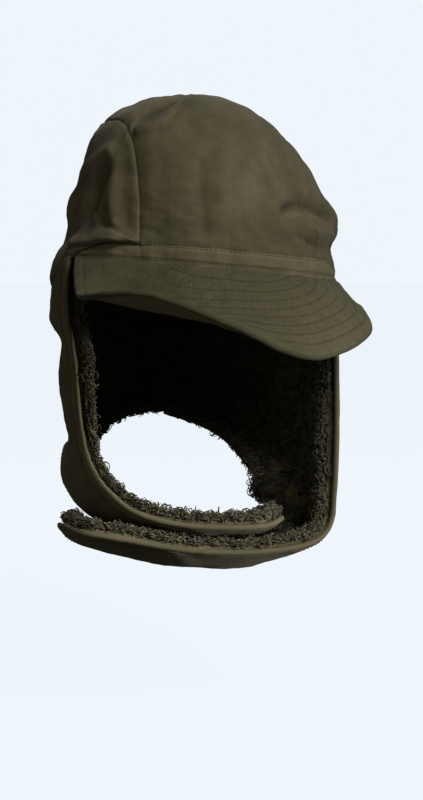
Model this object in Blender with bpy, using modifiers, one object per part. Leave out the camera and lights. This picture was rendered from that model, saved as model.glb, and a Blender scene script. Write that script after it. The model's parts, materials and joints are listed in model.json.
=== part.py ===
"""Winter cap of olive cotton: a soft crown of three panels, a front band, a quilted visor, and
ear and neck flaps lined with deep pile whose tabs overlap under the chin.

Metres, +Z up. The wearer looks along -Y, so their left side is at +X. The origin is the
inside of the crown's top, where a head carries the cap.
"""
import math
from bisect import bisect_right
from collections import namedtuple

import bpy
from mathutils import Vector

# Sizes that can be set by themselves
HEAD_WIDTH = 0.178          # outside of the cap at the band line, side to side
HEAD_LENGTH = 0.212         # outside of the cap at the band line, front to back
CROWN_RISE = 0.111          # band line up to the outside of the top
BACK_DEPTH = 0.040          # fall of the crown's seam from the visor's ends to the centre back
LEAN = 0.084                # the cap sits lower on the wearer's left: fall over width
CROWN_WALL = 0.0022         # crown cloth with its interlining
BAND_WALL = 0.0024
BAND_HEIGHT = 0.0100
VISOR_REACH = 0.060         # length of the visor in front of the band
VISOR_WALL = 0.0022         # quilted top cloth with the stiffener
VISOR_UNDER_WALL = 0.0012
FLAP_LENGTH = 0.180         # band line down to the front hem of the outer tab
FLAP_WALL = 0.0020
PILE_DEPTH = 0.013          # pile with its backing, on the ear and neck flaps
TAB_PILE_DEPTH = 0.0090     # the same pile where the tabs press it flat
PILE_LOCK_HOLLOW = 0.80     # depth between two locks, as a share of a lock's depth
PILE_SEAM_INSET = 0.12      # how far the pile stays off the back seam, as a share of its depth
TAB_CURL = 0.012            # how far a tab bellies out between its edges
TAB_BELLY_SPAN = 1.5        # width of a tab with the share that its front edge cuts off the belly
BINDING_THICKNESS = 0.0042
CLOSURE_WALL = 0.0010
SEAM_GAP = 0.0008           # between pieces that meet edge to edge
LAYER_GAP = 0.0004          # between pieces that lie on each other

# Places on the band, as turns in degrees from the centre front
VISOR_END = 69.0
BAND_END = 72.0
BAND_TAPER = 22.0           # stretch over which the band narrows to its ends
BAND_END_GAP = 1.5          # between the band's ends and the crown's side panels
FLAP_START = 75.0

# Sampling of the surfaces, in cells
PANEL_COLUMNS = 10
PANEL_ROWS = 26             # along the centre panel, and along the seams of the side panels
SIDE_ROWS = 7
BAND_COLUMNS = 24
BAND_ROWS = 2
VISOR_COLUMNS = 26
VISOR_ROWS = 8
FLAP_COLUMNS = 14
FLAP_ROWS = 9
TAB_COLUMNS = 6             # the front columns of a flap that run on into its tab
TAB_STEPS = 2               # rows between two stations of a tab
PILE_PRESSED_ROWS = 4       # rows over which the pile goes from the flap's depth to the tab's
CLOSURE_ROWS = (11, 15)     # rows of the inner tab that the closure covers
CLOSURE_COLUMNS = (2, 5)    # columns of the inner tab that it covers
LINE_SAMPLES = 90           # along a line over the crown, before its places are spread evenly

HALF_WIDTH = HEAD_WIDTH / 2
HALF_LENGTH = HEAD_LENGTH / 2
SEAT_BELOW_BAND_ORIGIN = CROWN_RISE - CROWN_WALL
BINDING_RADIUS = BINDING_THICKNESS / 2
FLAP_TUCK_POWER = 4         # how late, on its way down, a flap turns in to the neck
FLAP_SEAM_LEVEL = 0.1       # the level whose side reach sets the slope of the flaps' seam
SHARPEST_MITRE = 0.6        # least cosine of half the angle at a corner of a binding
NO_LENGTH = 1e-9            # lengths below this count as none

# Crown: one row a ring, from the back seam's level up to the top. The rise is a share of the
# crown's rise, the reaches are shares of the half width (right, left) or half length.
Ring = namedtuple("Ring", "rise right left front back")
CROWN_RINGS = [
    Ring(-0.38, 1.030, 1.050, 1.000, 0.960),
    Ring(-0.20, 1.040, 1.045, 1.000, 0.985),
    Ring(-0.08, 1.030, 1.035, 1.000, 1.000),
    Ring(0.03, 0.975, 1.025, 1.000, 1.005),
    Ring(0.14, 0.890, 1.005, 1.005, 1.000),
    Ring(0.25, 0.870, 1.020, 1.010, 0.985),
    Ring(0.35, 0.855, 0.990, 1.005, 0.970),
    Ring(0.46, 0.810, 0.925, 0.990, 0.940),
    Ring(0.60, 0.775, 0.830, 0.940, 0.870),
    Ring(0.70, 0.730, 0.735, 0.875, 0.800),
    Ring(0.80, 0.650, 0.610, 0.780, 0.700),
    Ring(0.88, 0.520, 0.480, 0.650, 0.580),
    Ring(0.95, 0.350, 0.320, 0.450, 0.390),
    Ring(0.985, 0.190, 0.180, 0.250, 0.220),
    Ring(1.00, 0.000, 0.000, 0.000, 0.000),
]

# Edges of the centre panel: how far aside they lie, as shares of the half width, at a place
# along the cap as a share of the half length, ahead of the band's centre where negative.
Seam = namedtuple("Seam", "along right left")
PANEL_SEAMS = [
    Seam(-1.00, 0.580, 0.600),
    Seam(-0.80, 0.580, 0.590),
    Seam(-0.60, 0.585, 0.570),
    Seam(-0.40, 0.600, 0.575),
    Seam(-0.15, 0.640, 0.590),
    Seam(0.15, 0.640, 0.600),
    Seam(0.60, 0.600, 0.600),
    Seam(1.00, 0.580, 0.580),
]

# Folds of the crown: from one turn and rise to another, with the half width and the height
# as shares of the crown's rise. A positive height is a ridge, a negative one a valley.
Fold = namedtuple("Fold", "turn rise to_turn to_rise width height")
CROWN_FOLDS = [
    Fold(-62, 0.84, -25, 0.93, 0.090, 0.012),
    Fold(-80, 0.93, -40, 0.99, 0.085, -0.036),
    Fold(-64, 0.66, -90, 0.50, 0.060, 0.026),
    Fold(-58, 0.62, -56, 0.30, 0.045, 0.018),
    Fold(-67, 0.56, -68, 0.29, 0.085, -0.048),
    Fold(-86, 0.42, -90, 0.26, 0.070, -0.022),
    Fold(-80, 0.17, -54, 0.20, 0.050, 0.036),
    Fold(-84, 0.10, -48, 0.12, 0.045, -0.030),
    Fold(-100, 0.30, -118, 0.12, 0.090, 0.035),
    Fold(-112, 0.40, -128, 0.22, 0.080, -0.035),
    Fold(6, 0.55, 5, 0.20, 0.110, -0.022),
    Fold(20, 0.66, 22, 0.38, 0.070, 0.020),
    Fold(23, 0.33, 30, 0.37, 0.045, -0.018),
    Fold(35, 0.38, 58, 0.33, 0.060, -0.034),
    Fold(38, 0.25, 56, 0.23, 0.060, 0.022),
    Fold(62, 0.36, 84, 0.28, 0.085, 0.035),
    Fold(64, 0.22, 82, 0.14, 0.060, -0.030),
    Fold(110, 0.50, 120, 0.16, 0.100, -0.040),
    Fold(150, 0.62, 146, 0.20, 0.110, 0.035),
    Fold(-152, 0.55, -146, 0.16, 0.100, -0.035),
    Fold(178, 0.40, 172, 0.00, 0.100, 0.030),
]

# Visor: one row a section, at its turn on the band. Everything else is a share of the reach:
# how far the rim lies aside and ahead, how far it drops, and how far the middle sags below
# the straight line to the rim. The wearer's right side turns up, the left side hangs.
Section = namedtuple("Section", "turn aside ahead drop sag")
VISOR_SECTIONS = [
    Section(-69, -0.13, 0.86, 0.42, 0.04),
    Section(-62, -0.14, 0.94, 0.37, 0.10),
    Section(-52, -0.13, 1.00, 0.33, 0.18),
    Section(-40, -0.10, 1.03, 0.31, 0.25),
    Section(-25, -0.07, 1.01, 0.38, 0.24),
    Section(-10, -0.03, 1.00, 0.52, 0.17),
    Section(0, 0.00, 0.98, 0.63, 0.10),
    Section(10, 0.01, 0.96, 0.74, 0.03),
    Section(25, 0.02, 0.90, 0.79, -0.05),
    Section(40, 0.07, 0.80, 0.71, -0.08),
    Section(52, 0.14, 0.73, 0.60, -0.07),
    Section(62, 0.20, 0.66, 0.46, -0.01),
    Section(69, 0.17, 0.44, 0.28, 0.03),
]

# Ear and neck flaps: one row a level, as shares of the flap's length. Side and back reaches are
# shares of the half width and half length, and edge is the turn of the flap's front edge.
Level = namedtuple("Level", "drop side back edge")
FLAP_LEVELS = {
    "right": [
        Level(0.00, 1.020, 0.99, 76.0),
        Level(0.10, 1.040, 0.99, 75.5),
        Level(0.20, 1.030, 0.97, 75.0),
        Level(0.32, 0.990, 0.95, 74.5),
        Level(0.42, 0.980, 0.93, 74.0),
        Level(0.54, 0.960, 0.90, 73.5),
        Level(0.66, 0.920, 0.84, 71.5),
        Level(0.78, 0.870, 0.78, 68.0),
        Level(0.92, 0.800, 0.72, 64.0),
    ],
    "left": [
        Level(0.00, 1.030, 0.99, 76.0),
        Level(0.10, 1.040, 0.99, 72.5),
        Level(0.20, 1.045, 0.97, 70.0),
        Level(0.32, 1.050, 0.95, 69.0),
        Level(0.42, 1.055, 0.93, 68.0),
        Level(0.54, 1.060, 0.90, 67.0),
        Level(0.66, 1.055, 0.84, 66.0),
        Level(0.78, 1.045, 0.78, 65.0),
        Level(0.92, 1.000, 0.72, 63.0),
    ],
}

# Lower edge of each flap, from the centre back (0) round to the front edge (1). The drop is
# a share of the flap's length and the tuck, in towards the neck, a share of the half width. In
# front of the neck opening the flap runs on into its tab here.
Edge = namedtuple("Edge", "way drop tuck")
FLAP_EDGES = {
    "right": [
        Edge(0.00, 0.545, 0.02), Edge(0.20, 0.555, 0.04), Edge(0.40, 0.590, 0.07),
        Edge(0.57, 0.620, 0.08), Edge(0.80, 0.600, 0.02), Edge(1.00, 0.570, 0.00),
    ],
    "left": [
        Edge(0.00, 0.555, 0.03), Edge(0.20, 0.620, 0.14), Edge(0.40, 0.720, 0.31),
        Edge(0.57, 0.785, 0.36), Edge(0.80, 0.820, 0.10), Edge(1.00, 0.815, 0.00),
    ],
}

# Chin tabs: one row a station of the front hem. Across is a share of the half width,
# positive on the tab's own side; drop is a share of the flap's length; front and back are the
# two edges' places as shares of the half length, behind the band's centre where positive;
# curl is a share of the tab's curl, and tuck, in at the back edge, of the half width.
Station = namedtuple("Station", "across drop front back curl tuck")
TAB_STATIONS = {
    "right": [
        Station(0.895, 0.655, -0.375, 0.330, 0.65, 0.07),
        Station(0.835, 0.735, -0.460, 0.250, 1.20, 0.04),
        Station(0.735, 0.795, -0.520, 0.170, 1.45, 0.02),
        Station(0.620, 0.842, -0.560, 0.090, 1.25, 0.01),
        Station(0.450, 0.876, -0.580, 0.030, 1.00, 0.00),
        Station(0.190, 0.904, -0.585, 0.000, 1.00, 0.00),
        Station(-0.080, 0.914, -0.585, -0.010, 1.00, 0.00),
        Station(-0.300, 0.916, -0.570, -0.030, 0.95, 0.00),
        Station(-0.450, 0.912, -0.510, -0.100, 0.80, 0.00),
        Station(-0.540, 0.904, -0.400, -0.210, 0.40, 0.00),
    ],
    "left": [
        Station(0.930, 0.880, -0.430, 0.270, 0.40, 0.34),
        Station(0.875, 0.938, -0.480, 0.190, 0.75, 0.26),
        Station(0.750, 0.978, -0.530, 0.120, 1.00, 0.17),
        Station(0.550, 0.997, -0.565, 0.060, 1.15, 0.08),
        Station(0.270, 1.005, -0.585, 0.010, 1.25, 0.00),
        Station(0.000, 1.000, -0.585, 0.000, 1.25, 0.00),
        Station(-0.250, 0.986, -0.585, -0.010, 1.25, 0.00),
        Station(-0.500, 0.960, -0.585, -0.020, 1.20, 0.00),
        Station(-0.740, 0.935, -0.580, -0.030, 1.05, 0.00),
        Station(-0.900, 0.923, -0.555, -0.055, 0.80, 0.00),
        Station(-0.990, 0.914, -0.480, -0.130, 0.45, 0.00),
        Station(-1.030, 0.908, -0.390, -0.220, 0.20, 0.00),
    ],
}

# Folds of the flaps' cloth: from one way and depth to another. Way runs from the centre back
# (0) to the front edge (1), depth from the crown's seam (0) to the lower edge (1). Width and
# height are shares of the flap's length, and the lining follows the same folds.
Crease = namedtuple("Crease", "way depth to_way to_depth width height")
FLAP_CREASES = {
    "right": [
        Crease(0.60, 0.34, 0.86, 0.40, 0.055, -0.026),
        Crease(0.62, 0.10, 0.70, 0.28, 0.050, 0.016),
        Crease(0.80, 0.02, 0.84, 0.32, 0.035, -0.014),
        Crease(0.40, 0.10, 0.50, 0.60, 0.070, -0.016),
        Crease(0.15, 0.15, 0.12, 0.90, 0.070, 0.014),
    ],
    "left": [
        Crease(0.70, 0.10, 0.62, 0.40, 0.060, -0.016),
        Crease(0.45, 0.15, 0.52, 0.70, 0.070, 0.014),
        Crease(0.22, 0.20, 0.20, 0.90, 0.070, -0.014),
    ],
}

SIDE_SIGN = {"right": -1.0, "left": 1.0}

CLOTH = (0.115, 0.098, 0.060)
SEAM_CLOTH = (0.150, 0.130, 0.084)
PILE = (0.045, 0.050, 0.030)


def follow(keys, values, at):
    """Smooth curve through the values at their rising keys."""
    if at <= keys[0]:
        return values[0]
    if at >= keys[-1]:
        return values[-1]
    i = bisect_right(keys, at) - 1
    span = keys[i + 1] - keys[i]
    t = (at - keys[i]) / span

    def slope(k):
        low = max(k - 1, 0)
        high = min(k + 1, len(keys) - 1)
        return (values[high] - values[low]) / (keys[high] - keys[low])

    start, end = values[i], values[i + 1]
    leave, arrive = slope(i) * span, slope(i + 1) * span
    square, cube = t * t, t * t * t
    return (start * (2 * cube - 3 * square + 1) + leave * (cube - 2 * square + t)
            + end * (3 * square - 2 * cube) + arrive * (cube - square))


def read_table(rows, at, key=None):
    """The row of a table at a value of its key column, or at a row number."""
    keys = [getattr(row, key) for row in rows] if key else list(range(len(rows)))
    kind = type(rows[0])
    return kind(*[follow(keys, [row[i] for row in rows], at) for i in range(len(kind._fields))])


def mix(a, b, share):
    return a + (b - a) * share


def worn(x, y, z):
    """A place on the crown or visor, z above the band line, on the cap as it sits."""
    return Vector((x, y, z - LEAN * x - SEAT_BELOW_BAND_ORIGIN))


def hung(x, y, z):
    """A place on the flaps, z above the band line, which hang straight."""
    return Vector((x, y, z - SEAT_BELOW_BAND_ORIGIN))


def segment_distance(point, start, end):
    run = end - start
    share = (point - start).dot(run) / max(run.length_squared, NO_LENGTH ** 2)
    share = min(1.0, max(0.0, share))
    return (point - (start + run * share)).length


# The crown's surface

def ring_outline(ring, turn):
    """Plan place of a ring's outline at a turn."""
    side = ring.left if math.sin(turn) >= 0 else ring.right
    ahead = ring.front if math.cos(turn) >= 0 else ring.back
    return HALF_WIDTH * side * math.sin(turn), -HALF_LENGTH * ahead * math.cos(turn)


def crown_smooth(turn, step):
    ring = read_table(CROWN_RINGS, step)
    x, y = ring_outline(ring, turn)
    return Vector((x, y, CROWN_RISE * ring.rise))


def step_at_rise(rise):
    """The ring number at a share of the crown's rise."""
    return bisect(lambda step: read_table(CROWN_RINGS, step).rise < rise, 0, len(CROWN_RINGS) - 1)


def bisect(still_before, low, high):
    """Where a test turns from true to false between low and high."""
    for _ in range(30):
        middle = (low + high) / 2
        if still_before(middle):
            low = middle
        else:
            high = middle
    return (low + high) / 2


def fold_lines():
    """The crown's folds with their ends as places."""
    lines = []
    for fold in CROWN_FOLDS:
        start = crown_smooth(math.radians(fold.turn), step_at_rise(fold.rise))
        end = crown_smooth(math.radians(fold.to_turn), step_at_rise(fold.to_rise))
        lines.append((start, end, fold.width * CROWN_RISE, fold.height * CROWN_RISE))
    return lines


def crown_outward(point):
    direction = Vector((point.x / HALF_WIDTH ** 2, point.y / HALF_LENGTH ** 2,
                        max(point.z, 0.0) / CROWN_RISE ** 2))
    return direction.normalized()


def crown_place(turn, step, lines):
    point = crown_smooth(turn, step)
    lift = sum(height * math.exp(-(segment_distance(point, start, end) / width) ** 2)
               for start, end, width, height in lines)
    point += crown_outward(point) * lift
    return worn(*point)


def seam_drop(turn):
    """Depth of the crown's seam below the band line, behind the visor's ends."""
    share = (abs(math.degrees(turn)) - BAND_END) / (180.0 - BAND_END)
    share = min(1.0, max(0.0, share))
    return BACK_DEPTH * (1.0 - (1.0 - share) ** 2)


def band_top(turn):
    """Height of the front band at a turn; it narrows to its ends."""
    share = (BAND_END - abs(math.degrees(turn))) / BAND_TAPER
    share = min(1.0, max(0.0, share))
    return BAND_HEIGHT * (1.0 - (1.0 - share) ** 2)


def crown_edge(turn):
    """Height of the crown's lower edge: on the band in front, at the seam behind."""
    if abs(math.degrees(turn)) < BAND_END:
        return band_top(turn) + SEAM_GAP
    return SEAM_GAP - seam_drop(turn)


def lowest_step(turn_at):
    """The ring number where a line up the crown leaves the lower edge."""
    last = len(CROWN_RINGS) - 1
    return bisect(lambda step: CROWN_RISE * read_table(CROWN_RINGS, step).rise
                  < crown_edge(turn_at(step)), 0, last)


def seam_aside(side, y):
    """How far aside a seam of the centre panel lies at a place along the cap."""
    return HALF_WIDTH * getattr(read_table(PANEL_SEAMS, y / HALF_LENGTH, "along"), side)


def turn_on_line(side, share, step, behind):
    """The turn, on the side's own half, at which a ring crosses the line that lies at a share
    of the way from the middle to the seam."""
    sign = SIDE_SIGN[side]
    ring = read_table(CROWN_RINGS, step)

    def inside(turn):
        x, y = ring_outline(ring, sign * turn)
        return abs(x) < share * seam_aside(side, y)

    if behind:
        return sign * bisect(lambda turn: not inside(turn), math.pi / 2, math.pi)
    return sign * bisect(inside, 0.0, math.pi / 2)


def crown_line(side, share):
    """Turns and ring numbers along a line over the crown, from front to back, that lies at a
    share of the way from the middle to the seam."""
    last = len(CROWN_RINGS) - 1
    summit = bisect(lambda step: HALF_WIDTH * getattr(read_table(CROWN_RINGS, step), side)
                    > share * seam_aside(side, 0.0), last / 2, last)
    line = []
    for behind in (False, True):
        low = lowest_step(lambda step: turn_on_line(side, share, step, behind))
        half = []
        for k in range(LINE_SAMPLES):
            step = summit - (summit - low) * (1 - k / LINE_SAMPLES) ** 2
            half.append((turn_on_line(side, share, step, behind), step))
        line += half[::-1] if behind else half
    return line


def spread_evenly(line, lines, cells):
    """Turns and ring numbers at equal distances along a line over the crown."""
    places = [crown_place(turn, step, lines) for turn, step in line]
    lengths = [0.0]
    for before, after in zip(places, places[1:]):
        lengths.append(lengths[-1] + (after - before).length)
    spread = []
    for i in range(cells + 1):
        at = lengths[-1] * i / cells
        k = min(max(bisect_right(lengths, at) - 1, 0), len(line) - 2)
        share = min(1.0, (at - lengths[k]) / max(lengths[k + 1] - lengths[k], NO_LENGTH))
        spread.append((mix(line[k][0], line[k + 1][0], share), mix(line[k][1], line[k + 1][1], share)))
    return spread


def centre_panel_grid():
    lines = fold_lines()
    columns = []
    for i in range(PANEL_COLUMNS + 1):
        across = mix(-1.0, 1.0, i / PANEL_COLUMNS)
        side = "left" if across >= 0 else "right"
        share = abs(across) * (1.0 - SEAM_GAP / 2 / seam_aside(side, 0.0))
        spread = spread_evenly(crown_line(side, share), lines, PANEL_ROWS)
        columns.append([crown_place(turn, step, lines) for turn, step in spread])
    return columns


def side_panel_grid(side):
    """Columns from the crown's lower edge up to the seam, whose places match the centre
    panel's edge. The first and last column are nearly points, at the panel's two corners."""
    lines = fold_lines()
    sign = SIDE_SIGN[side]
    seam = crown_line(side, 1.0 + SEAM_GAP / 2 / seam_aside(side, 0.0))
    tops = spread_evenly(seam[1:-1], lines, PANEL_ROWS)
    first, last = abs(seam[0][0]), abs(seam[-1][0])
    columns = []
    for i, (top_turn, top_step) in enumerate(tops):
        turn = sign * mix(first, last, i / PANEL_ROWS)
        low = lowest_step(lambda step: turn)
        columns.append([crown_place(mix(turn, top_turn, k / SIDE_ROWS),
                                    mix(low, top_step, k / SIDE_ROWS), lines)
                        for k in range(SIDE_ROWS + 1)])
    return columns


def band_grid():
    columns = []
    reach = math.radians(BAND_END - BAND_END_GAP)
    for i in range(BAND_COLUMNS + 1):
        turn = mix(-reach, reach, i / BAND_COLUMNS)
        column = []
        for k in range(BAND_ROWS + 1):
            z = band_top(turn) * k / BAND_ROWS
            x, y = ring_outline(read_table(CROWN_RINGS, step_at_rise(z / CROWN_RISE)), turn)
            column.append(worn(x, y, z))
        columns.append(column)
    return columns


# The visor's surface

def visor_place(turn, out):
    """A place on the visor's upper face; out runs from the band (0) to the rim (1)."""
    row = read_table(VISOR_SECTIONS, turn, "turn")
    ring = read_table(CROWN_RINGS, step_at_rise(0.0))
    x, y = ring_outline(ring, math.radians(turn))
    sag = row.sag * math.sin(math.pi * out)
    return worn(x + VISOR_REACH * row.aside * out, y - VISOR_REACH * row.ahead * out,
                -LAYER_GAP - VISOR_REACH * (row.drop * out + sag))


def visor_grid():
    columns = []
    for i in range(VISOR_COLUMNS + 1):
        turn = mix(-VISOR_END, VISOR_END, i / VISOR_COLUMNS)
        columns.append([visor_place(turn, k / VISOR_ROWS) for k in range(VISOR_ROWS + 1)])
    return columns


# The flaps' surfaces

def flap_smooth(side, way, depth):
    """A place on a flap's outer face: way from the centre back to the front edge, depth from
    the crown's seam to the lower edge."""
    sign = SIDE_SIGN[side]
    seam_turn = math.radians(mix(180.0, FLAP_START, way))
    upper = read_table(FLAP_LEVELS[side], FLAP_SEAM_LEVEL, "drop")
    seam_x = sign * HALF_WIDTH * upper.side * math.sin(seam_turn)
    top = -SEAM_GAP / 2 - seam_drop(seam_turn) - LEAN * seam_x
    edge = read_table(FLAP_EDGES[side], way, "way")
    bottom = -FLAP_LENGTH * edge.drop
    z = mix(top, bottom, depth)
    level = read_table(FLAP_LEVELS[side], -z / FLAP_LENGTH, "drop")
    turn = math.radians(mix(180.0, level.edge, way))
    ahead = 1.0 if math.cos(turn) >= 0 else level.back
    tuck = 1.0 - edge.tuck * depth ** FLAP_TUCK_POWER
    x = sign * max(HALF_WIDTH * level.side * math.sin(turn) * tuck, SEAM_GAP / 2)
    return Vector((x, -HALF_LENGTH * ahead * math.cos(turn) * tuck, z))


def flap_place(side, way, depth):
    point = flap_smooth(side, way, depth)
    outward = Vector((point.x, point.y, 0)).normalized()
    for crease in FLAP_CREASES[side]:
        start = flap_smooth(side, crease.way, crease.depth)
        end = flap_smooth(side, crease.to_way, crease.to_depth)
        near = segment_distance(point, start, end) / (crease.width * FLAP_LENGTH)
        point = point + outward * crease.height * FLAP_LENGTH * math.exp(-near ** 2)
    return hung(*point)


def tab_section(side, number):
    """The places across a tab at one station, from its back edge to its front edge."""
    sign = SIDE_SIGN[side]
    stations = TAB_STATIONS[side]
    here = stations[number]
    before = stations[max(number - 1, 0)]
    after = stations[min(number + 1, len(stations) - 1)]
    run = Vector(((after.across - before.across) * sign * HALF_WIDTH, 0,
                  (before.drop - after.drop) * FLAP_LENGTH)).normalized()
    outward = Vector((-run.z, 0, run.x)) * sign
    places = []
    for i in range(TAB_COLUMNS + 1):
        back = 1 - i / TAB_COLUMNS
        place = hung(sign * HALF_WIDTH * here.across,
                     HALF_LENGTH * mix(here.front, here.back, back), -FLAP_LENGTH * here.drop)
        belly = here.curl * TAB_CURL * math.sin(math.pi * back / TAB_BELLY_SPAN)
        tuck = here.tuck * HALF_WIDTH * back ** 2
        places.append(place + outward * (belly - tuck))
    return places


def between_rows(rows, number, share):
    """A row between two rows, on the smooth curve through its neighbours."""
    keys = [-1, 0, 1, 2]
    last = len(rows) - 1
    near = [rows[min(max(number + k, 0), last)] for k in keys]
    return [Vector([follow(keys, [row[i][axis] for row in near], share) for axis in range(3)])
            for i in range(len(rows[0]))]


def flap_sheet(side):
    """Rows of a whole flap: the body's rows run all the way round, the tab's rows only over
    the front columns."""
    body = [[flap_place(side, i / FLAP_COLUMNS, k / FLAP_ROWS)
             for i in range(FLAP_COLUMNS + 1)] for k in range(FLAP_ROWS + 1)]
    front = [row[FLAP_COLUMNS - TAB_COLUMNS:] for row in body[-2:]]
    rows = front + [tab_section(side, n) for n in range(len(TAB_STATIONS[side]))]
    tab = []
    for number in range(1, len(rows) - 1):
        tab += [between_rows(rows, number, (k + 1) / TAB_STEPS) for k in range(TAB_STEPS)]
    return body, tab


# Meshes from the surfaces

class Sheet:
    """An open surface: its corners, faces and the run of its free edges."""

    def __init__(self):
        self.places = []
        self.faces = []

    def add_rows(self, rows):
        first = len(self.places)
        self.places += [place.copy() for row in rows for place in row]
        return [list(range(first + n * len(row), first + (n + 1) * len(row)))
                for n, row in enumerate(rows)]

    def join_rows(self, rows, flip):
        for before, after in zip(rows, rows[1:]):
            for i in range(len(before) - 1):
                face = [before[i], before[i + 1], after[i + 1], after[i]]
                self.faces.append(face[::-1] if flip else face)

    def normals(self):
        """The directions in which a wall of this surface is thickened."""
        mesh = bpy.data.meshes.new("sheet")
        mesh.from_pydata(self.places, [], self.faces)
        directions = [normal.vector.copy() for normal in mesh.vertex_normals]
        bpy.data.meshes.remove(mesh)
        return directions

    def moved_inward(self, distance):
        other = Sheet()
        other.faces = self.faces
        normals = self.normals()
        other.places = [place - normal * distance
                        for place, normal in zip(self.places, normals)]
        return other


def grid_sheet(columns, flip=False):
    sheet = Sheet()
    sheet.join_rows(sheet.add_rows(columns), flip)
    return sheet


def flap_mesh_sheet(side):
    """The outer face of one flap with its tab, and the numbers of its corners by row."""
    body, tab = flap_sheet(side)
    flip = side == "right"
    sheet = Sheet()
    body_numbers = sheet.add_rows(body)
    tab_numbers = sheet.add_rows(tab)
    sheet.join_rows(body_numbers, flip)
    start = body_numbers[-1][FLAP_COLUMNS - TAB_COLUMNS:]
    sheet.join_rows([start] + tab_numbers, flip)
    return sheet, body_numbers, tab_numbers


def material(name, colour, roughness):
    made = bpy.data.materials.new(name)
    made.use_nodes = True
    shader = made.node_tree.nodes["Principled BSDF"]
    shader.inputs["Base Color"].default_value = (*colour, 1.0)
    shader.inputs["Roughness"].default_value = roughness
    shader.inputs["Metallic"].default_value = 0.0
    return made


def keep(thing, name, colour, roughness, collection):
    collection.objects.link(thing)
    thing.data.materials.append(material(name + "_finish", colour, roughness))


def walled_piece(name, sheet, wall, colour, collection, roughness=0.9):
    """A cloth piece: the open outer face, thickened inward."""
    mesh = bpy.data.meshes.new(name)
    mesh.from_pydata(sheet.places, [], sheet.faces)
    mesh.update()
    mesh.shade_smooth()
    piece = bpy.data.objects.new(name, mesh)
    keep(piece, name, colour, roughness, collection)
    solidify = piece.modifiers.new("wall", "SOLIDIFY")
    solidify.thickness = wall
    solidify.offset = -1.0
    return piece


def pile_piece(side, sheet, body_numbers, tab_numbers, collection):
    """The pile: a backing with locks that stand off it, deep on the flap, flat on the tab."""
    backing = sheet.moved_inward(FLAP_WALL + LAYER_GAP)
    for row in body_numbers:
        seam, beside = backing.places[row[0]], backing.places[row[1]]
        inset = PILE_DEPTH * PILE_SEAM_INSET / (beside - seam).length
        backing.places[row[0]] = seam.lerp(beside, inset)
    piece = walled_piece("pile_lining_" + side, backing, PILE_DEPTH, PILE, collection, 1.0)
    depths = piece.vertex_groups.new(name="pile")
    rows = body_numbers + tab_numbers
    for n, row in enumerate(rows):
        on_tab = (n + PILE_PRESSED_ROWS - len(body_numbers) - 1) / PILE_PRESSED_ROWS
        on_tab = min(1.0, max(0.0, on_tab))
        depth = mix(1.0, TAB_PILE_DEPTH / PILE_DEPTH, on_tab)
        for i, number in enumerate(row):
            lock = 1.0 if (n + i) % 2 else PILE_LOCK_HOLLOW
            depths.add([number], depth * lock, "REPLACE")
    piece.modifiers["wall"].vertex_group = depths.name
    return piece


def free_edge(sheet, body_numbers, tab_numbers):
    """The run of a binding: down the front edge, round the tab's tip, back along the tab
    and round the neck to the centre back, just outside the flap's edge."""
    middle = sheet.moved_inward(FLAP_WALL / 2)
    normals = sheet.normals()
    tip, neck = tab_numbers[-1], body_numbers[-1]
    edge = [row[-1] for row in body_numbers + tab_numbers]
    edge += [tip[i] for i in range(TAB_COLUMNS - 1, 0, -1)]
    edge += [row[0] for row in reversed(tab_numbers)]
    edge += [neck[i] for i in range(FLAP_COLUMNS - TAB_COLUMNS, -1, -1)]
    places = [middle.places[number] for number in edge]
    inner = middle.places[body_numbers[0][-2]]
    run = []
    sign = 1.0
    for k, place in enumerate(places):
        before = place - places[max(k - 1, 0)] if k else places[1] - place
        after = places[k + 1] - place if k < len(places) - 1 else before
        out_before = before.cross(normals[edge[k]]).normalized()
        out_after = after.cross(normals[edge[k]]).normalized()
        outward = (out_before + out_after).normalized()
        if k == 0:
            sign = math.copysign(1.0, outward.dot(place - inner))
        mitre = max(SHARPEST_MITRE, outward.dot(out_before))
        run.append(place + outward * sign * (BINDING_RADIUS + LAYER_GAP) / mitre)
    down = (run[1] - run[0]).normalized()
    run[0] = run[0] + down * (BINDING_RADIUS + LAYER_GAP)
    aside = (run[-2] - run[-1]).normalized()
    run[-1] = run[-1] + aside * BINDING_RADIUS / 2
    return run


def binding_piece(side, run, collection):
    curve = bpy.data.curves.new("flap_binding_" + side, "CURVE")
    curve.dimensions = "3D"
    curve.bevel_depth = BINDING_RADIUS
    curve.bevel_resolution = 1
    curve.use_fill_caps = True
    spline = curve.splines.new("POLY")
    spline.points.add(len(run) - 1)
    for point, place in zip(spline.points, run):
        point.co = (*place, 1.0)
    piece = bpy.data.objects.new(curve.name, curve)
    keep(piece, curve.name, SEAM_CLOTH, 0.85, collection)
    return piece


def closure_piece(sheet, tab_numbers, collection):
    """The hidden fastening: a flat patch under the inner tab, on the outer tab's pile."""
    outer = sheet.moved_inward(-(LAYER_GAP + CLOSURE_WALL))
    first, last = CLOSURE_ROWS
    rows = [[outer.places[row[i]] for i in range(*CLOSURE_COLUMNS)]
            for row in tab_numbers[first:last]]
    return walled_piece("chin_closure", grid_sheet(rows, True), CLOSURE_WALL, SEAM_CLOTH,
                        collection)


def clear_scene():
    for thing in list(bpy.data.objects):
        bpy.data.objects.remove(thing)


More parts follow.
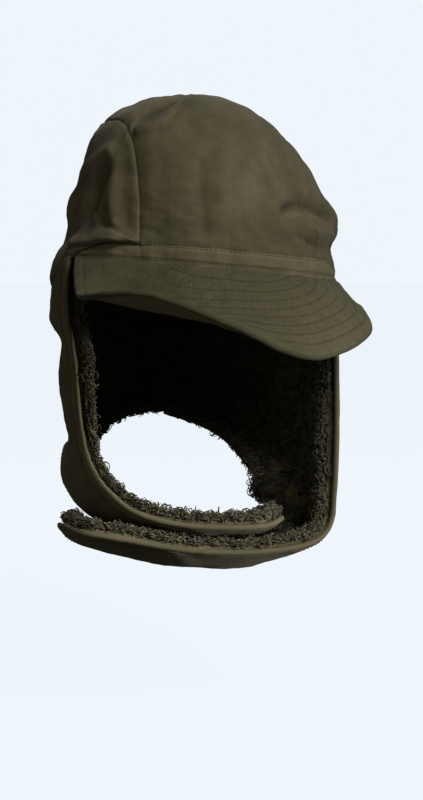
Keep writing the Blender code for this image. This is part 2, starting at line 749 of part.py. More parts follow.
def build_cap():
    clear_scene()
    cap = bpy.data.collections.new("winter_cap")
    bpy.context.scene.collection.children.link(cap)

    walled_piece("crown_center_panel", grid_sheet(centre_panel_grid(), True), CROWN_WALL,
                 CLOTH, cap)
    for side in SIDE_SIGN:
        walled_piece("crown_side_panel_" + side, grid_sheet(side_panel_grid(side), side == "right"),
                     CROWN_WALL, CLOTH, cap)
    walled_piece("crown_band", grid_sheet(band_grid()), BAND_WALL, CLOTH, cap)

    visor = grid_sheet(visor_grid())
    walled_piece("visor_top", visor, VISOR_WALL, CLOTH, cap)
    walled_piece("visor_underside", visor.moved_inward(VISOR_WALL + LAYER_GAP),
                 VISOR_UNDER_WALL, CLOTH, cap)

    for side in SIDE_SIGN:
        sheet, body_numbers, tab_numbers = flap_mesh_sheet(side)
        walled_piece("flap_shell_" + side, sheet, FLAP_WALL, CLOTH, cap)
        pile_piece(side, sheet, body_numbers, tab_numbers, cap)
        binding_piece(side, free_edge(sheet, body_numbers, tab_numbers), cap)
        if side == "right":
            closure_piece(sheet, tab_numbers, cap)


build_cap()
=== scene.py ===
import json
import math
from collections import namedtuple

import bpy
import numpy as np
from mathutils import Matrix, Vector

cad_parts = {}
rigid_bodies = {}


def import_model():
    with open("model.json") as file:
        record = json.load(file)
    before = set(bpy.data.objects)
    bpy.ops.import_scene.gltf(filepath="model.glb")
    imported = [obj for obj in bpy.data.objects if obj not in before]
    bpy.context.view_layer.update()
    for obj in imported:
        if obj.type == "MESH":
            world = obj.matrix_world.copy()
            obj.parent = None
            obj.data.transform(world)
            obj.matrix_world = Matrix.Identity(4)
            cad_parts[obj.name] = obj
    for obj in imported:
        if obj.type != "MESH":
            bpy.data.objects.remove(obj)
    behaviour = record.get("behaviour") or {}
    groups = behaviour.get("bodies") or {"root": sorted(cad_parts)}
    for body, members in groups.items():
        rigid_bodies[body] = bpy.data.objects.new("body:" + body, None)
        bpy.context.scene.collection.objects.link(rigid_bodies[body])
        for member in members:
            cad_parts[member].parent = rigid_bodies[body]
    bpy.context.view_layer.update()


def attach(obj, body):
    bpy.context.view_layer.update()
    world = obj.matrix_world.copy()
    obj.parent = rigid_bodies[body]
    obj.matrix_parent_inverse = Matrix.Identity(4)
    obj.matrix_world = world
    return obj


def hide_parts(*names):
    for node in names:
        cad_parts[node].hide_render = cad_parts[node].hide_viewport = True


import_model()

HEAD_WIDTH = 0.178          # outside of the cap at the band line, side to side
HEAD_LENGTH = 0.212         # outside of the cap at the band line, front to back
CROWN_RISE = 0.111          # band line up to the outside of the top
BACK_DEPTH = 0.040          # fall of the crown's seam from the visor's ends to the centre back
LEAN = 0.084                # the cap sits lower on the wearer's left: fall over width
CROWN_WALL = 0.0022         # crown cloth with its interlining
BAND_WALL = 0.0024
BAND_HEIGHT = 0.0100
VISOR_REACH = 0.060         # length of the visor in front of the band
VISOR_WALL = 0.0022         # quilted top cloth with the stiffener
VISOR_UNDER_WALL = 0.0012
FLAP_LENGTH = 0.180         # band line down to the front hem of the outer tab
FLAP_WALL = 0.0020
PILE_DEPTH = 0.013          # pile with its backing, on the ear and neck flaps
TAB_PILE_DEPTH = 0.0090     # the same pile where the tabs press it flat
TAB_CURL = 0.012            # how far a tab bellies out between its edges
TAB_BELLY_SPAN = 1.5        # width of a tab with the share that its front edge cuts off the belly
BINDING_THICKNESS = 0.0042
SEAM_GAP = 0.0008           # between pieces that meet edge to edge
LAYER_GAP = 0.0004          # between pieces that lie on each other

# Places on the band, as turns in degrees from the centre front
VISOR_END = 69.0
BAND_END = 72.0
BAND_TAPER = 22.0           # stretch over which the band narrows to its ends
FLAP_START = 75.0

# Crown: one row a ring, from the back seam's level up to the top. The rise is a share of the
# crown's rise, the reaches are shares of the half width (right, left) or half length.
Ring = namedtuple("Ring", "rise right left front back")
CROWN_RINGS = [
    Ring(-0.38, 1.030, 1.050, 1.000, 0.960),
    Ring(-0.20, 1.040, 1.045, 1.000, 0.985),
    Ring(-0.08, 1.030, 1.035, 1.000, 1.000),
    Ring(0.03, 0.975, 1.025, 1.000, 1.005),
    Ring(0.14, 0.890, 1.005, 1.005, 1.000),
    Ring(0.25, 0.870, 1.020, 1.010, 0.985),
    Ring(0.35, 0.855, 0.990, 1.005, 0.970),
    Ring(0.46, 0.810, 0.925, 0.990, 0.940),
    Ring(0.60, 0.775, 0.830, 0.940, 0.870),
    Ring(0.70, 0.730, 0.735, 0.875, 0.800),
    Ring(0.80, 0.650, 0.610, 0.780, 0.700),
    Ring(0.88, 0.520, 0.480, 0.650, 0.580),
    Ring(0.95, 0.350, 0.320, 0.450, 0.390),
    Ring(0.985, 0.190, 0.180, 0.250, 0.220),
    Ring(1.00, 0.000, 0.000, 0.000, 0.000),
]

# Edges of the centre panel: how far aside they lie, as shares of the half width, at a place
# along the cap as a share of the half length, ahead of the band's centre where negative.
Seam = namedtuple("Seam", "along right left")
PANEL_SEAMS = [
    Seam(-1.00, 0.580, 0.600),
    Seam(-0.80, 0.580, 0.590),
    Seam(-0.60, 0.585, 0.570),
    Seam(-0.40, 0.600, 0.575),
    Seam(-0.15, 0.640, 0.590),
    Seam(0.15, 0.640, 0.600),
    Seam(0.60, 0.600, 0.600),
    Seam(1.00, 0.580, 0.580),
]

# Folds of the crown: from one turn and rise to another, with the half width and the height
# as shares of the crown's rise. A positive height is a ridge, a negative one a valley. Some are
# narrower here than in the CAD.
Fold = namedtuple("Fold", "turn rise to_turn to_rise width height")
CROWN_FOLDS = [
    Fold(-62, 0.84, -25, 0.93, 0.090, 0.012),
    Fold(-80, 0.93, -40, 0.99, 0.085, -0.036),
    Fold(-64, 0.58, -96, 0.48, 0.050, 0.020),
    Fold(-58, 0.52, -53, 0.20, 0.050, 0.020),
    Fold(-67, 0.46, -71, 0.28, 0.075, -0.044),
    Fold(-86, 0.42, -90, 0.26, 0.070, -0.022),
    Fold(-76, 0.075, -50, 0.09, 0.060, 0.036),
    Fold(-84, 0.03, -48, 0.05, 0.024, -0.010),
    Fold(-100, 0.30, -118, 0.12, 0.090, 0.035),
    Fold(-112, 0.40, -128, 0.22, 0.080, -0.035),
    Fold(-13, 0.55, -12, 0.19, 0.055, -0.014),
    Fold(20, 0.66, 22, 0.38, 0.070, 0.020),
    Fold(23, 0.33, 30, 0.37, 0.045, -0.018),
    Fold(35, 0.38, 58, 0.33, 0.060, -0.034),
    Fold(38, 0.25, 56, 0.23, 0.060, 0.022),
    Fold(62, 0.36, 84, 0.28, 0.085, 0.035),
    Fold(64, 0.22, 82, 0.14, 0.060, -0.030),
    Fold(110, 0.50, 120, 0.16, 0.100, -0.040),
    Fold(150, 0.62, 146, 0.20, 0.110, 0.035),
    Fold(-152, 0.55, -146, 0.16, 0.100, -0.035),
    Fold(178, 0.40, 172, 0.00, 0.100, 0.030),
]

# Visor: one row a section, at its turn on the band. Everything else is a share of the reach:
# how far the rim lies aside and ahead, how far it drops, and how far the middle sags below
# the straight line to the rim. The wearer's right side turns up, the left side hangs.
Section = namedtuple("Section", "turn aside ahead drop sag")
VISOR_SECTIONS = [
    Section(-69, -0.13, 0.86, 0.42, 0.04),
    Section(-62, -0.14, 0.94, 0.37, 0.10),
    Section(-52, -0.13, 1.00, 0.33, 0.18),
    Section(-40, -0.10, 1.03, 0.31, 0.25),
    Section(-25, -0.07, 1.01, 0.38, 0.24),
    Section(-10, -0.03, 1.00, 0.52, 0.17),
    Section(0, 0.00, 0.98, 0.63, 0.10),
    Section(10, 0.01, 0.96, 0.74, 0.03),
    Section(25, 0.02, 0.90, 0.79, -0.05),
    Section(40, 0.07, 0.80, 0.71, -0.08),
    Section(52, 0.14, 0.73, 0.60, -0.07),
    Section(62, 0.20, 0.66, 0.46, -0.01),
    Section(69, 0.17, 0.44, 0.28, 0.03),
]

# Ear and neck flaps: one row a level, as shares of the flap's length. Side and back reaches are
# shares of the half width and half length, and edge is the turn of the flap's front edge.
Level = namedtuple("Level", "drop side back edge")
FLAP_LEVELS = {
    "right": [
        Level(0.00, 1.020, 0.99, 76.0),
        Level(0.10, 1.040, 0.99, 75.5),
        Level(0.20, 1.030, 0.97, 75.0),
        Level(0.32, 0.990, 0.95, 74.5),
        Level(0.42, 0.980, 0.93, 74.0),
        Level(0.54, 0.960, 0.90, 73.5),
        Level(0.66, 0.920, 0.84, 71.5),
        Level(0.78, 0.870, 0.78, 68.0),
        Level(0.92, 0.800, 0.72, 64.0),
    ],
    "left": [
        Level(0.00, 1.030, 0.99, 76.0),
        Level(0.10, 1.040, 0.99, 72.5),
        Level(0.20, 1.045, 0.97, 70.0),
        Level(0.32, 1.050, 0.95, 69.0),
        Level(0.42, 1.055, 0.93, 68.0),
        Level(0.54, 1.060, 0.90, 67.0),
        Level(0.66, 1.055, 0.84, 66.0),
        Level(0.78, 1.045, 0.78, 65.0),
        Level(0.92, 1.000, 0.72, 63.0),
    ],
}

# Lower edge of each flap, from the centre back (0) round to the front edge (1). The drop is
# a share of the flap's length and the tuck, in towards the neck, a share of the half width. In
# front of the neck opening the flap runs on into its tab here.
Edge = namedtuple("Edge", "way drop tuck")
FLAP_EDGES = {
    "right": [
        Edge(0.00, 0.545, 0.02), Edge(0.20, 0.555, 0.04), Edge(0.40, 0.590, 0.07),
        Edge(0.57, 0.620, 0.08), Edge(0.80, 0.600, 0.02), Edge(1.00, 0.570, 0.00),
    ],
    "left": [
        Edge(0.00, 0.555, 0.03), Edge(0.20, 0.620, 0.14), Edge(0.40, 0.720, 0.31),
        Edge(0.57, 0.785, 0.36), Edge(0.80, 0.820, 0.10), Edge(1.00, 0.815, 0.00),
    ],
}

# Chin tabs: one row a station of the front hem. Across is a share of the half width,
# positive on the tab's own side; drop is a share of the flap's length; front and back are the
# two edges' places as shares of the half length, behind the band's centre where positive;
# curl is a share of the tab's curl, and tuck, in at the back edge, of the half width.
Station = namedtuple("Station", "across drop front back curl tuck")
TAB_STATIONS = {
    "right": [
        Station(0.895, 0.655, -0.375, 0.330, 0.65, 0.07),
        Station(0.835, 0.735, -0.460, 0.250, 1.20, 0.04),
        Station(0.735, 0.795, -0.520, 0.170, 1.45, 0.02),
        Station(0.620, 0.842, -0.560, 0.090, 1.25, 0.01),
        Station(0.450, 0.876, -0.580, 0.030, 1.00, 0.00),
        Station(0.190, 0.904, -0.585, 0.000, 1.00, 0.00),
        Station(-0.080, 0.914, -0.585, -0.010, 1.00, 0.00),
        Station(-0.300, 0.916, -0.570, -0.030, 0.95, 0.00),
        Station(-0.450, 0.912, -0.510, -0.100, 0.80, 0.00),
        Station(-0.540, 0.904, -0.400, -0.210, 0.40, 0.00),
    ],
    "left": [
        Station(0.930, 0.880, -0.430, 0.270, 0.40, 0.34),
        Station(0.875, 0.938, -0.480, 0.190, 0.75, 0.26),
        Station(0.750, 0.978, -0.530, 0.120, 1.00, 0.17),
        Station(0.550, 0.997, -0.565, 0.060, 1.15, 0.08),
        Station(0.270, 1.005, -0.585, 0.010, 1.25, 0.00),
        Station(0.000, 1.000, -0.585, 0.000, 1.25, 0.00),
        Station(-0.250, 0.986, -0.585, -0.010, 1.25, 0.00),
        Station(-0.500, 0.960, -0.585, -0.020, 1.20, 0.00),
        Station(-0.740, 0.935, -0.580, -0.030, 1.05, 0.00),
        Station(-0.900, 0.923, -0.555, -0.055, 0.80, 0.00),
        Station(-0.990, 0.914, -0.480, -0.130, 0.45, 0.00),
        Station(-1.030, 0.908, -0.390, -0.220, 0.20, 0.00),
    ],
}

# Folds of the flaps' cloth: from one way and depth to another. Way runs from the centre back
# (0) to the front edge (1), depth from the crown's seam (0) to the lower edge (1). Width and
# height are shares of the flap's length, and the lining follows the same folds.
Crease = namedtuple("Crease", "way depth to_way to_depth width height")
FLAP_CREASES = {
    "right": [
        Crease(0.60, 0.34, 0.86, 0.40, 0.055, -0.026),
        Crease(0.62, 0.10, 0.70, 0.28, 0.050, 0.016),
        Crease(0.80, 0.02, 0.84, 0.32, 0.035, -0.014),
        Crease(0.40, 0.10, 0.50, 0.60, 0.070, -0.016),
        Crease(0.15, 0.15, 0.12, 0.90, 0.070, 0.014),
    ],
    "left": [
        Crease(0.70, 0.10, 0.62, 0.40, 0.060, -0.016),
        Crease(0.45, 0.15, 0.52, 0.70, 0.070, 0.014),
        Crease(0.22, 0.20, 0.20, 0.90, 0.070, -0.014),
    ],
}

HALF_WIDTH = HEAD_WIDTH / 2
HALF_LENGTH = HEAD_LENGTH / 2
SEAT_BELOW_BAND_ORIGIN = CROWN_RISE - CROWN_WALL
BINDING_RADIUS = BINDING_THICKNESS / 2
FLAP_TUCK_POWER = 4
FLAP_SEAM_LEVEL = 0.1
SIDE_SIGN = {"right": -1.0, "left": 1.0}
LAST_RING = len(CROWN_RINGS) - 1

# The CAD's own cells, which the tab's smooth curve runs through
FLAP_COLUMNS = 14
FLAP_ROWS = 9
TAB_COLUMNS = 6

# Finer folds of the crown, in the same columns as the broad ones
FINE_FOLDS = [
    Fold(16, 0.62, 20, 0.46, 0.018, 0.009),
    Fold(-8, 0.60, -10, 0.30, 0.030, -0.005),
    Fold(22, 0.34, 32, 0.38, 0.018, -0.014),
    Fold(24, 0.30, 34, 0.33, 0.016, 0.007),
    Fold(36, 0.38, 54, 0.35, 0.018, -0.016),
    Fold(38, 0.33, 56, 0.30, 0.020, 0.010),
    Fold(30, 0.20, 44, 0.14, 0.022, -0.008),
    Fold(40, 0.24, 44, 0.10, 0.016, 0.008),
    Fold(66, 0.24, 84, 0.16, 0.020, -0.010),
    Fold(112, 0.44, 122, 0.14, 0.024, -0.010),
    Fold(148, 0.56, 144, 0.18, 0.026, 0.010),
    Fold(-150, 0.50, -144, 0.14, 0.024, -0.010),
    Fold(-104, 0.36, -120, 0.12, 0.022, 0.010),
    Fold(170, 0.34, 166, 0.02, 0.022, 0.008),
    Fold(-172, 0.30, -166, 0.00, 0.022, -0.008),
]

# Sharp lines in the crown's cloth, each through its points (turn, rise). Left and right are how
# far the line's height, in metres, runs out to either side of someone who follows the points.
Line = namedtuple("Line", "left right height points")
CROWN_LINES = [
    Line(0.0040, 0.0085, 0.0020, [(-61, 0.57), (-61, 0.47), (-60, 0.38), (-56, 0.29), (-55, 0.21),
                                  (-46, 0.14), (-39, 0.10)]),
    Line(0.0045, 0.0045, -0.0018, [(-65, 0.52), (-69, 0.39), (-70, 0.29), (-71, 0.25)]),
    Line(0.0016, 0.0060, 0.0012, [(-61, 0.57), (-74, 0.50), (-88, 0.48)]),
    Line(0.0035, 0.0014, 0.0016, [(-64, 0.55), (-81, 0.43), (-90, 0.38)]),
    Line(0.0095, 0.0014, 0.0018, [(-68, 0.25), (-75, 0.16), (-80, 0.08)]),
    Line(0.0014, 0.0080, 0.0018, [(-68, 0.25), (-61, 0.16), (-52, 0.135), (-42, 0.10)]),
    Line(0.0012, 0.0016, -0.0016, [(-78, 0.045), (-53, 0.075), (-40, 0.085)]),
    Line(0.0080, 0.0018, 0.0027, [(-48, 0.71), (-40, 0.73), (-34, 0.77), (-30, 0.82)]),
    Line(0.0055, 0.0040, -0.0040, [(-51, 0.79), (-46, 0.83), (-37, 0.88), (-30, 0.93)]),
    Line(0.0022, 0.0030, 0.0016, [(-55, 0.68), (-52, 0.83)]),
    Line(0.0034, 0.0034, -0.0008, [(-14, 0.54), (-13, 0.35), (-12, 0.18)]),
    Line(0.0045, 0.0045, 0.0006, [(-3, 0.49), (-4, 0.22)]),
    Line(0.0010, 0.0024, 0.0006, [(7, 0.66), (2, 0.53)]),
    Line(0.0015, 0.0015, 0.0004, [(-16, 0.77), (-5, 0.79)]),
    Line(0.0022, 0.0022, -0.0005, [(25, 0.67), (15, 0.49)]),
]
LINE_SHARPNESS = 1.3

# Darker and paler patches on the crown, as rows of turn and rise with their width in metres. The
# darker ones are painted shade, behind the crease at the top left and along folds and dents, and
# one is a stain;
# the paler ones are painted highlights on lit folds, partly wear. Tone is taken off the cloth's
# colour, so that a negative one makes a pale place.
ShadeAndStain = namedtuple("ShadeAndStain", "turn rise to_turn to_rise width tone")
CROWN_SHADE_AND_STAINS = [
    ShadeAndStain(-43, 0.80, -31, 0.88, 0.0098, 0.62),
    ShadeAndStain(-53, 0.72, -56, 0.84, 0.0060, -0.28),
    ShadeAndStain(-14, 0.52, -12, 0.20, 0.0030, 0.16),
    ShadeAndStain(16, 0.22, 24, 0.15, 0.0070, 0.16),
    ShadeAndStain(8, 0.42, 3, 0.34, 0.0110, -0.20),
    ShadeAndStain(21, 0.34, 26, 0.36, 0.0030, 0.22),
    ShadeAndStain(50, 0.36, 70, 0.40, 0.0050, 0.18),
    ShadeAndStain(26, 0.66, 14, 0.56, 0.0060, -0.10),
]
DEGREE_LENGTH = 0.00155     # along the crown, for its lines

# Cloth that turns in at a seam or an edge: how deep, and how fast that fades
Dip = namedtuple("Dip", "depth width")
PANEL_SEAM = Dip(0.0013, 0.0015)
CENTRE_PANEL_END = Dip(0.0008, 0.0015)
SIDE_PANEL_END = Dip(0.0014, 0.0015)
BAND_LOWER_EDGE = Dip(0.0009, 0.0010)
BAND_UPPER_EDGE = Dip(0.0007, 0.0008)
BAND_CROSS_SEAM = Dip(0.0005, 0.0010)
VISOR_ROOT = Dip(0.0012, 0.0016)
CENTRE_BACK_SEAM = Dip(0.0009, 0.0016)
FLAP_UPPER_EDGE = Dip(0.0012, 0.0020)

# Small random waves: height, length in metres and seed. The hems' and the pile's heights are
# shares of their own thickness.
Wave = namedtuple("Wave", "height length seed")
CROWN_WAVES = [Wave(0.00034, 0.020, 3), Wave(0.00013, 0.008, 4)]
VISOR_WAVES = [Wave(0.00012, 0.0050, 21), Wave(0.00030, 0.016, 22)]
FLAP_WAVES = [Wave(0.00035, 0.022, 31), Wave(0.00015, 0.009, 32)]
HEM_WAVES = [Wave(0.06, 0.012, 41), Wave(0.03, 0.005, 42)]
PILE_WAVES = [Wave(0.5, 0.0075, 51), Wave(0.5, 0.0042, 52)]
WAVE_COUNT = 14             # plane waves in each

# How far pieces run on under their neighbours
SEAM_TUCK = 0.0006
SIDE_LAP = 0.022            # of a side panel, as a share of the way to the middle
SIDE_LAP_DEPTH = 0.0010
BACK_LAP = 0.0022           # of the right flap under the left one at the centre back
BACK_LAP_SPAN = 0.03        # share of the way round over which that lap fades
BACK_LAP_DEPTH = 0.0010
FLAP_TUCK = 0.0018          # of a flap's upper edge inside the crown
FLAP_HEIGHT = 0.08          # crown's seam to a flap's lower edge, about
BAND_TUCK = 0.18            # of the band above the visor, as a share of the band's height
VISOR_TUCK = 0.035          # of the visor in behind the band, as a share of its reach

BAND_GROOVES = (0.14, 0.90)     # rows of stitches, as shares of the band's height
BAND_GROOVE_DEPTH = 0.00035
BAND_GROOVE_WIDTH = 0.0007
BAND_SPARE_TURN = 0.8       # from the band's cloth to its nominal end, in degrees
BAND_STITCH_SPARE = 2.5     # and from its rows of stitches

RIM_SHARPNESS = 4.0         # how tightly the quilting turns the visor's corners
CORNER_RADIUS = 0.0085      # of the visor's two corners, and the same as a turn in degrees
CORNER_TURN = 5.5
VISOR_END_SPREAD = 0.0016   # how far the visor's right end lies over the flap's front edge
VISOR_SPREAD_TURN = 48.0    # where that spread begins, in degrees, and over what turn it grows
VISOR_SPREAD_RUN = 20.0
VISOR_END_RUN = 1.08        # length round the band for each metre of half width and radian

QUILT_STRIP = 0.0085        # visor's rim to its first row of stitches
QUILT_PITCH = 0.0074
QUILT_ROWS = 8
QUILT_GROOVE = 0.00050
QUILT_GROOVE_WIDTH = 0.0011
RIM_GROOVE = 1.3            # the first groove's depth for each of the others'
RIM_SWELL = 0.00025         # of the strip between the rim and the first row
RIM_SWELL_WIDTH = 0.003
PRESSED_TURN = -34.0        # the quilting is pressed flat up to here, in degrees,
PRESSED_RUN = 36.0          # and full after this much more
QUILT_STITCH_TURN = -24.0   # where stitches begin to show, the first row's apart
QUILT_STITCH_ROOT = 0.012   # share of the reach that has none

STITCH_LENGTH = 0.0021
STITCH_PITCH = 0.0029
STITCH_RADIUS = 0.00022
VISOR_STITCH_LIFT = 0.00004
HEM_STITCH_LIFT = 0.0002
HEM_ROW = 0.0055            # a flap's free edge to its row of stitches
HEM_OVERLAP = 0.0004        # of a hem over the shell's edge
HEM_HEIGHT = 0.86           # a hem's section, as shares of the binding's own radius
HEM_WIDTH = 1.08
HEM_SIDES = 12
VISOR_EDGE_SWELL = 0.0001   # of the visor's turned edge over its layers
VISOR_EDGE_WIDTH = 0.9      # its width for each of its height

# A stitch from its first to its last ring: share of its length, height and thickness
STITCH_RINGS = ((0.0, -0.6, 0.35), (0.2, 0.6, 1.0), (0.8, 0.6, 1.0), (1.0, -0.6, 0.35))
STITCH_SIDES = 4
STITCH_WIDTH = 1.3          # a thread's width for each of its height

# The pile: curls on the lining and along its free edge. A pair holds least and greatest values.
LOCK_COUNT = 4600
EDGE_LOCK_COUNT = 3600
LOCK_SEGMENTS = 6
LOCK_SIDES = 3
PRESSED_START = 0.72        # rows of a flap, as a share, after which the pile thins to the tab's
PRESSED_ROWS = 0.4
LINING_DEPTH = 0.72         # of the lining's face under the curls, as a share of the pile
LINING_LUMPS = 0.12
EDGE_ROUNDING = {"right": 0.96, "left": 0.84}   # the pile's depth at the free edge, as a share
ROUNDING_REACH = 0.006
CURL_SHARE_IN_SIGHT = 1.5   # curls to an area near the free edge, and far from it
CURL_SHARE_HIDDEN = 0.5
SIGHT_REACH = 0.02          # distance from the edge that is full of curls, and how far it fades
SIGHT_FADE = 0.03
CURL_SCATTER = 0.45         # how much the curls' ways stray, as shares of their length
EDGE_CURL_SCATTER = 0.35
EDGE_CURL_LEVELS = (0.22, 1.0)
BARE_ROWS = 2               # rows of cells under the crown's seam without curls
CURL_ROOT = 0.45            # all three as shares of the pile's depth
CURL_REACH = (0.60, 0.92)
EDGE_CURL_LEVEL = 0.8
CURL_RADIUS = (0.0010, 0.0026)
CURL_THICKNESS = (0.00034, 0.00080)
EDGE_CURL_REACH = (0.0010, 0.0050)  # at the front edge, and at the tab's back edge and the neck
EDGE_CURL_RADIUS = (0.0008, 0.0024)
EDGE_CURL_THICKNESS = (0.00032, 0.00070)
EDGE_CURL_ROOT = 0.0022     # how far inside the edge these curls begin
EDGE_CURL_SPARE = 5         # cells at either end of the free edge without curls
CURL_BEND = (0.8, 1.7)      # half turns
CURL_TWIST = 0.0014
CURL_LEAN = (-0.0015, 0.0025)
CURL_STAND = 0.3            # share of a curl that stands straight
CURL_TAPER = 0.72
CURL_TAPER_POWER = 2.2
CURL_COVER = 0.0010         # least depth of a curl inside the shell

# Studio and camera
FLOOR_DEPTH = 0.40
FLOOR_REACH = 30.0
PALE = (0.855, 0.913, 0.965)
FLOOR_GLOW = 0.98
ROOM_COLOUR = (1.0, 0.93, 0.82)
ROOM_GLOW = 0.055
LIGHT_AIM = (0.0, 0.0, -0.14)
AreaLight = namedtuple("AreaLight", "name place size power colour")
AREA_LIGHTS = [
    AreaLight("key", (0.50, -1.45, 0.95), 0.7, 26.0, (1.0, 0.97, 0.92)),
    AreaLight("fill", (-1.5, -0.9, 0.3), 1.2, 2.4, (1.0, 0.91, 0.74)),
    AreaLight("back", (0.5, 1.5, 0.9), 1.2, 8.0, (1.0, 0.97, 0.92)),
]
LOW_PLACE = (1.25, -0.66, -0.22)
LOW_AIM = (-0.08, -0.06, -0.260)
LOW_POWER = 175.0
LOW_COLOUR = (1.0, 0.95, 0.86)
LOW_SPREAD = math.radians(8.6)
LOW_BLEND = 0.7
LOW_SIZE = 0.10
CAMERA_TURN = math.radians(-13.0)
CAMERA_DISTANCE = 1.2
PIXEL = 0.654e-3            # size of a photo pixel at the middle of the cap
BAND_PIXELS_ASIDE = 18.5    # band's centre to the photo's middle, to the right and down
BAND_PIXELS_DOWN = 133
PHOTO_PIXELS_HIGH = 800
SENSOR_HEIGHT = 36.0

NO_LENGTH = 1e-12
LEAST_DISTANCE = 1e-5       # from the visor's edge
HEAD_CENTRE = np.array([0.0, 0.0, -SEAT_BELOW_BAND_ORIGIN - 0.02])
BISECT_STEPS = 26
UP = np.array([0.0, 0.0, 1.0])
STAIN = (0.80, 0.86, 0.74)


# Small helpers on arrays

def follow(keys, values, at):
    """Smooth curve through the values at their rising keys."""
    keys = np.asarray(keys, float)
    values = np.asarray(values, float)
    at = np.clip(np.asarray(at, float), keys[0], keys[-1])
    slopes = np.gradient(values)
    slopes[1:-1] = (values[2:] - values[:-2]) / (keys[2:] - keys[:-2])
    slopes[0] = (values[1] - values[0]) / (keys[1] - keys[0])
    slopes[-1] = (values[-1] - values[-2]) / (keys[-1] - keys[-2])
    i = np.clip(np.searchsorted(keys, at, side="right") - 1, 0, len(keys) - 2)
    span = keys[i + 1] - keys[i]
    t = (at - keys[i]) / span
    square, cube = t * t, t * t * t
    return (values[i] * (2 * cube - 3 * square + 1) + slopes[i] * span * (cube - 2 * square + t)
            + values[i + 1] * (3 * square - 2 * cube) + slopes[i + 1] * span * (cube - square))


def read_table(rows, at, key=None):
    """A row of a table at a place between its own rows, by their number or a rising column."""
    keys = [getattr(row, key) for row in rows] if key else list(range(len(rows)))
    kind = type(rows[0])
    return kind(*[follow(keys, [row[i] for row in rows], at) for i in range(len(kind._fields))])


def mix(a, b, share):
    return a + (b - a) * share


def clamp01(value):
    return np.clip(value, 0.0, 1.0)


def bell(distance, width):
    return np.exp(-(distance / width) ** 2)


def pull_in(distance, dip):
    return dip.depth * np.exp(-np.maximum(distance, 0.0) / dip.width)


def unit(v):
    return v / np.maximum(np.linalg.norm(v, axis=-1, keepdims=True), NO_LENGTH)


def bisect(still_before, low, high):
    low, high = np.array(low, float), np.array(high, float)
    for _ in range(BISECT_STEPS):
        middle = (low + high) / 2
        before = still_before(middle)
        low = np.where(before, middle, low)
        high = np.where(before, high, middle)
    return (low + high) / 2


def ripple(points, waves):
    """The sum of the given random waves, each smooth and about as long as it says."""
    total = 0.0
    for wave in waves:
        rng = np.random.default_rng(wave.seed)
        ways = unit(rng.normal(size=(WAVE_COUNT, 3))) * (2 * math.pi / wave.length)
        ways *= rng.uniform(0.6, 1.5, size=(WAVE_COUNT, 1))
        phases = rng.uniform(0, 2 * math.pi, WAVE_COUNT)
        parts = np.sin(points @ ways.T + phases)
        total = total + wave.height * parts.sum(axis=-1) / math.sqrt(WAVE_COUNT)
    return total


def segment_distance(points, start, end):
    run = end - start
    share = clamp01(((points - start) @ run) / max(float(run @ run), NO_LENGTH))
    return np.linalg.norm(points - (start + share[..., None] * run), axis=-1)


def distances_along(points):
    """Distance down each column of points from its first one."""
    steps = np.linalg.norm(np.diff(points, axis=0), axis=-1)
    return np.concatenate([np.zeros((1, *steps.shape[1:])), np.cumsum(steps, axis=0)])


def line_lengths(grid, axis):
    return np.linalg.norm(np.diff(grid, axis=axis), axis=-1).sum(axis=axis)


def grid_normals(grid):
    """Unit normals of a grid of points, by its rows crossed with its columns."""
    return unit(np.cross(np.gradient(grid, axis=0), np.gradient(grid, axis=1)))


def quads(numbers):
    a, b = numbers[:-1, :-1].ravel(), numbers[:-1, 1:].ravel()
    c, d = numbers[1:, 1:].ravel(), numbers[1:, :-1].ravel()
    return np.stack([a, b, c, d], axis=1)


def grid_faces(grid):
    rows, columns = grid.shape[:2]
    return quads(np.arange(rows * columns).reshape(rows, columns))


def face_crosses(places, faces):
    """Each face's diagonals crossed: its normal, as long as twice its area."""
    a, b, c, d = (places[faces[:, k]] for k in range(4))
    return np.cross(c - a, d - b)


def mesh_normals(places, faces):
    """Normals at the corners, averaged over the faces round them."""
    crosses = face_crosses(places, faces)
    normals = np.zeros_like(places)
    for k in range(4):
        np.add.at(normals, faces[:, k], crosses)
    return unit(normals)


def smoothed(line, passes):
    line = line.copy()
    for _ in range(passes):
        line[1:-1] = (line[:-2] + line[1:-1] * 2 + line[2:]) / 4
    return line


def hung(points):
    """From the band's level to the part's own origin."""
    out = points.copy()
    out[..., 2] -= SEAT_BELOW_BAND_ORIGIN
    return out


def worn(points):
    """The same, with the cap's lean to the wearer's left."""
    out = points.copy()
    out[..., 2] -= LEAN * points[..., 0] + SEAT_BELOW_BAND_ORIGIN
    return out


# The crown

def ring_outline(ring, turn):
    side = np.where(np.sin(turn) >= 0, ring.left, ring.right)
    ahead = np.where(np.cos(turn) >= 0, ring.front, ring.back)
    return HALF_WIDTH * side * np.sin(turn), -HALF_LENGTH * ahead * np.cos(turn)


def crown_smooth(turn, step):
    turn, step = np.broadcast_arrays(np.asarray(turn, float), np.asarray(step, float))
    ring = read_table(CROWN_RINGS, step)
    x, y = ring_outline(ring, turn)
    return np.stack([x, y, CROWN_RISE * ring.rise], axis=-1)


def step_at_rise(rise):
    rise = np.asarray(rise, float)
    return bisect(lambda step: read_table(CROWN_RINGS, step).rise < rise,
                  np.zeros_like(rise), np.full_like(rise, LAST_RING))


def on_crown(turn, rise):
    return crown_smooth(math.radians(turn), step_at_rise(rise))


ALL_FOLDS = [(on_crown(fold.turn, fold.rise), on_crown(fold.to_turn, fold.to_rise),
              fold.width * CROWN_RISE, fold.height * CROWN_RISE)
             for fold in CROWN_FOLDS + FINE_FOLDS]


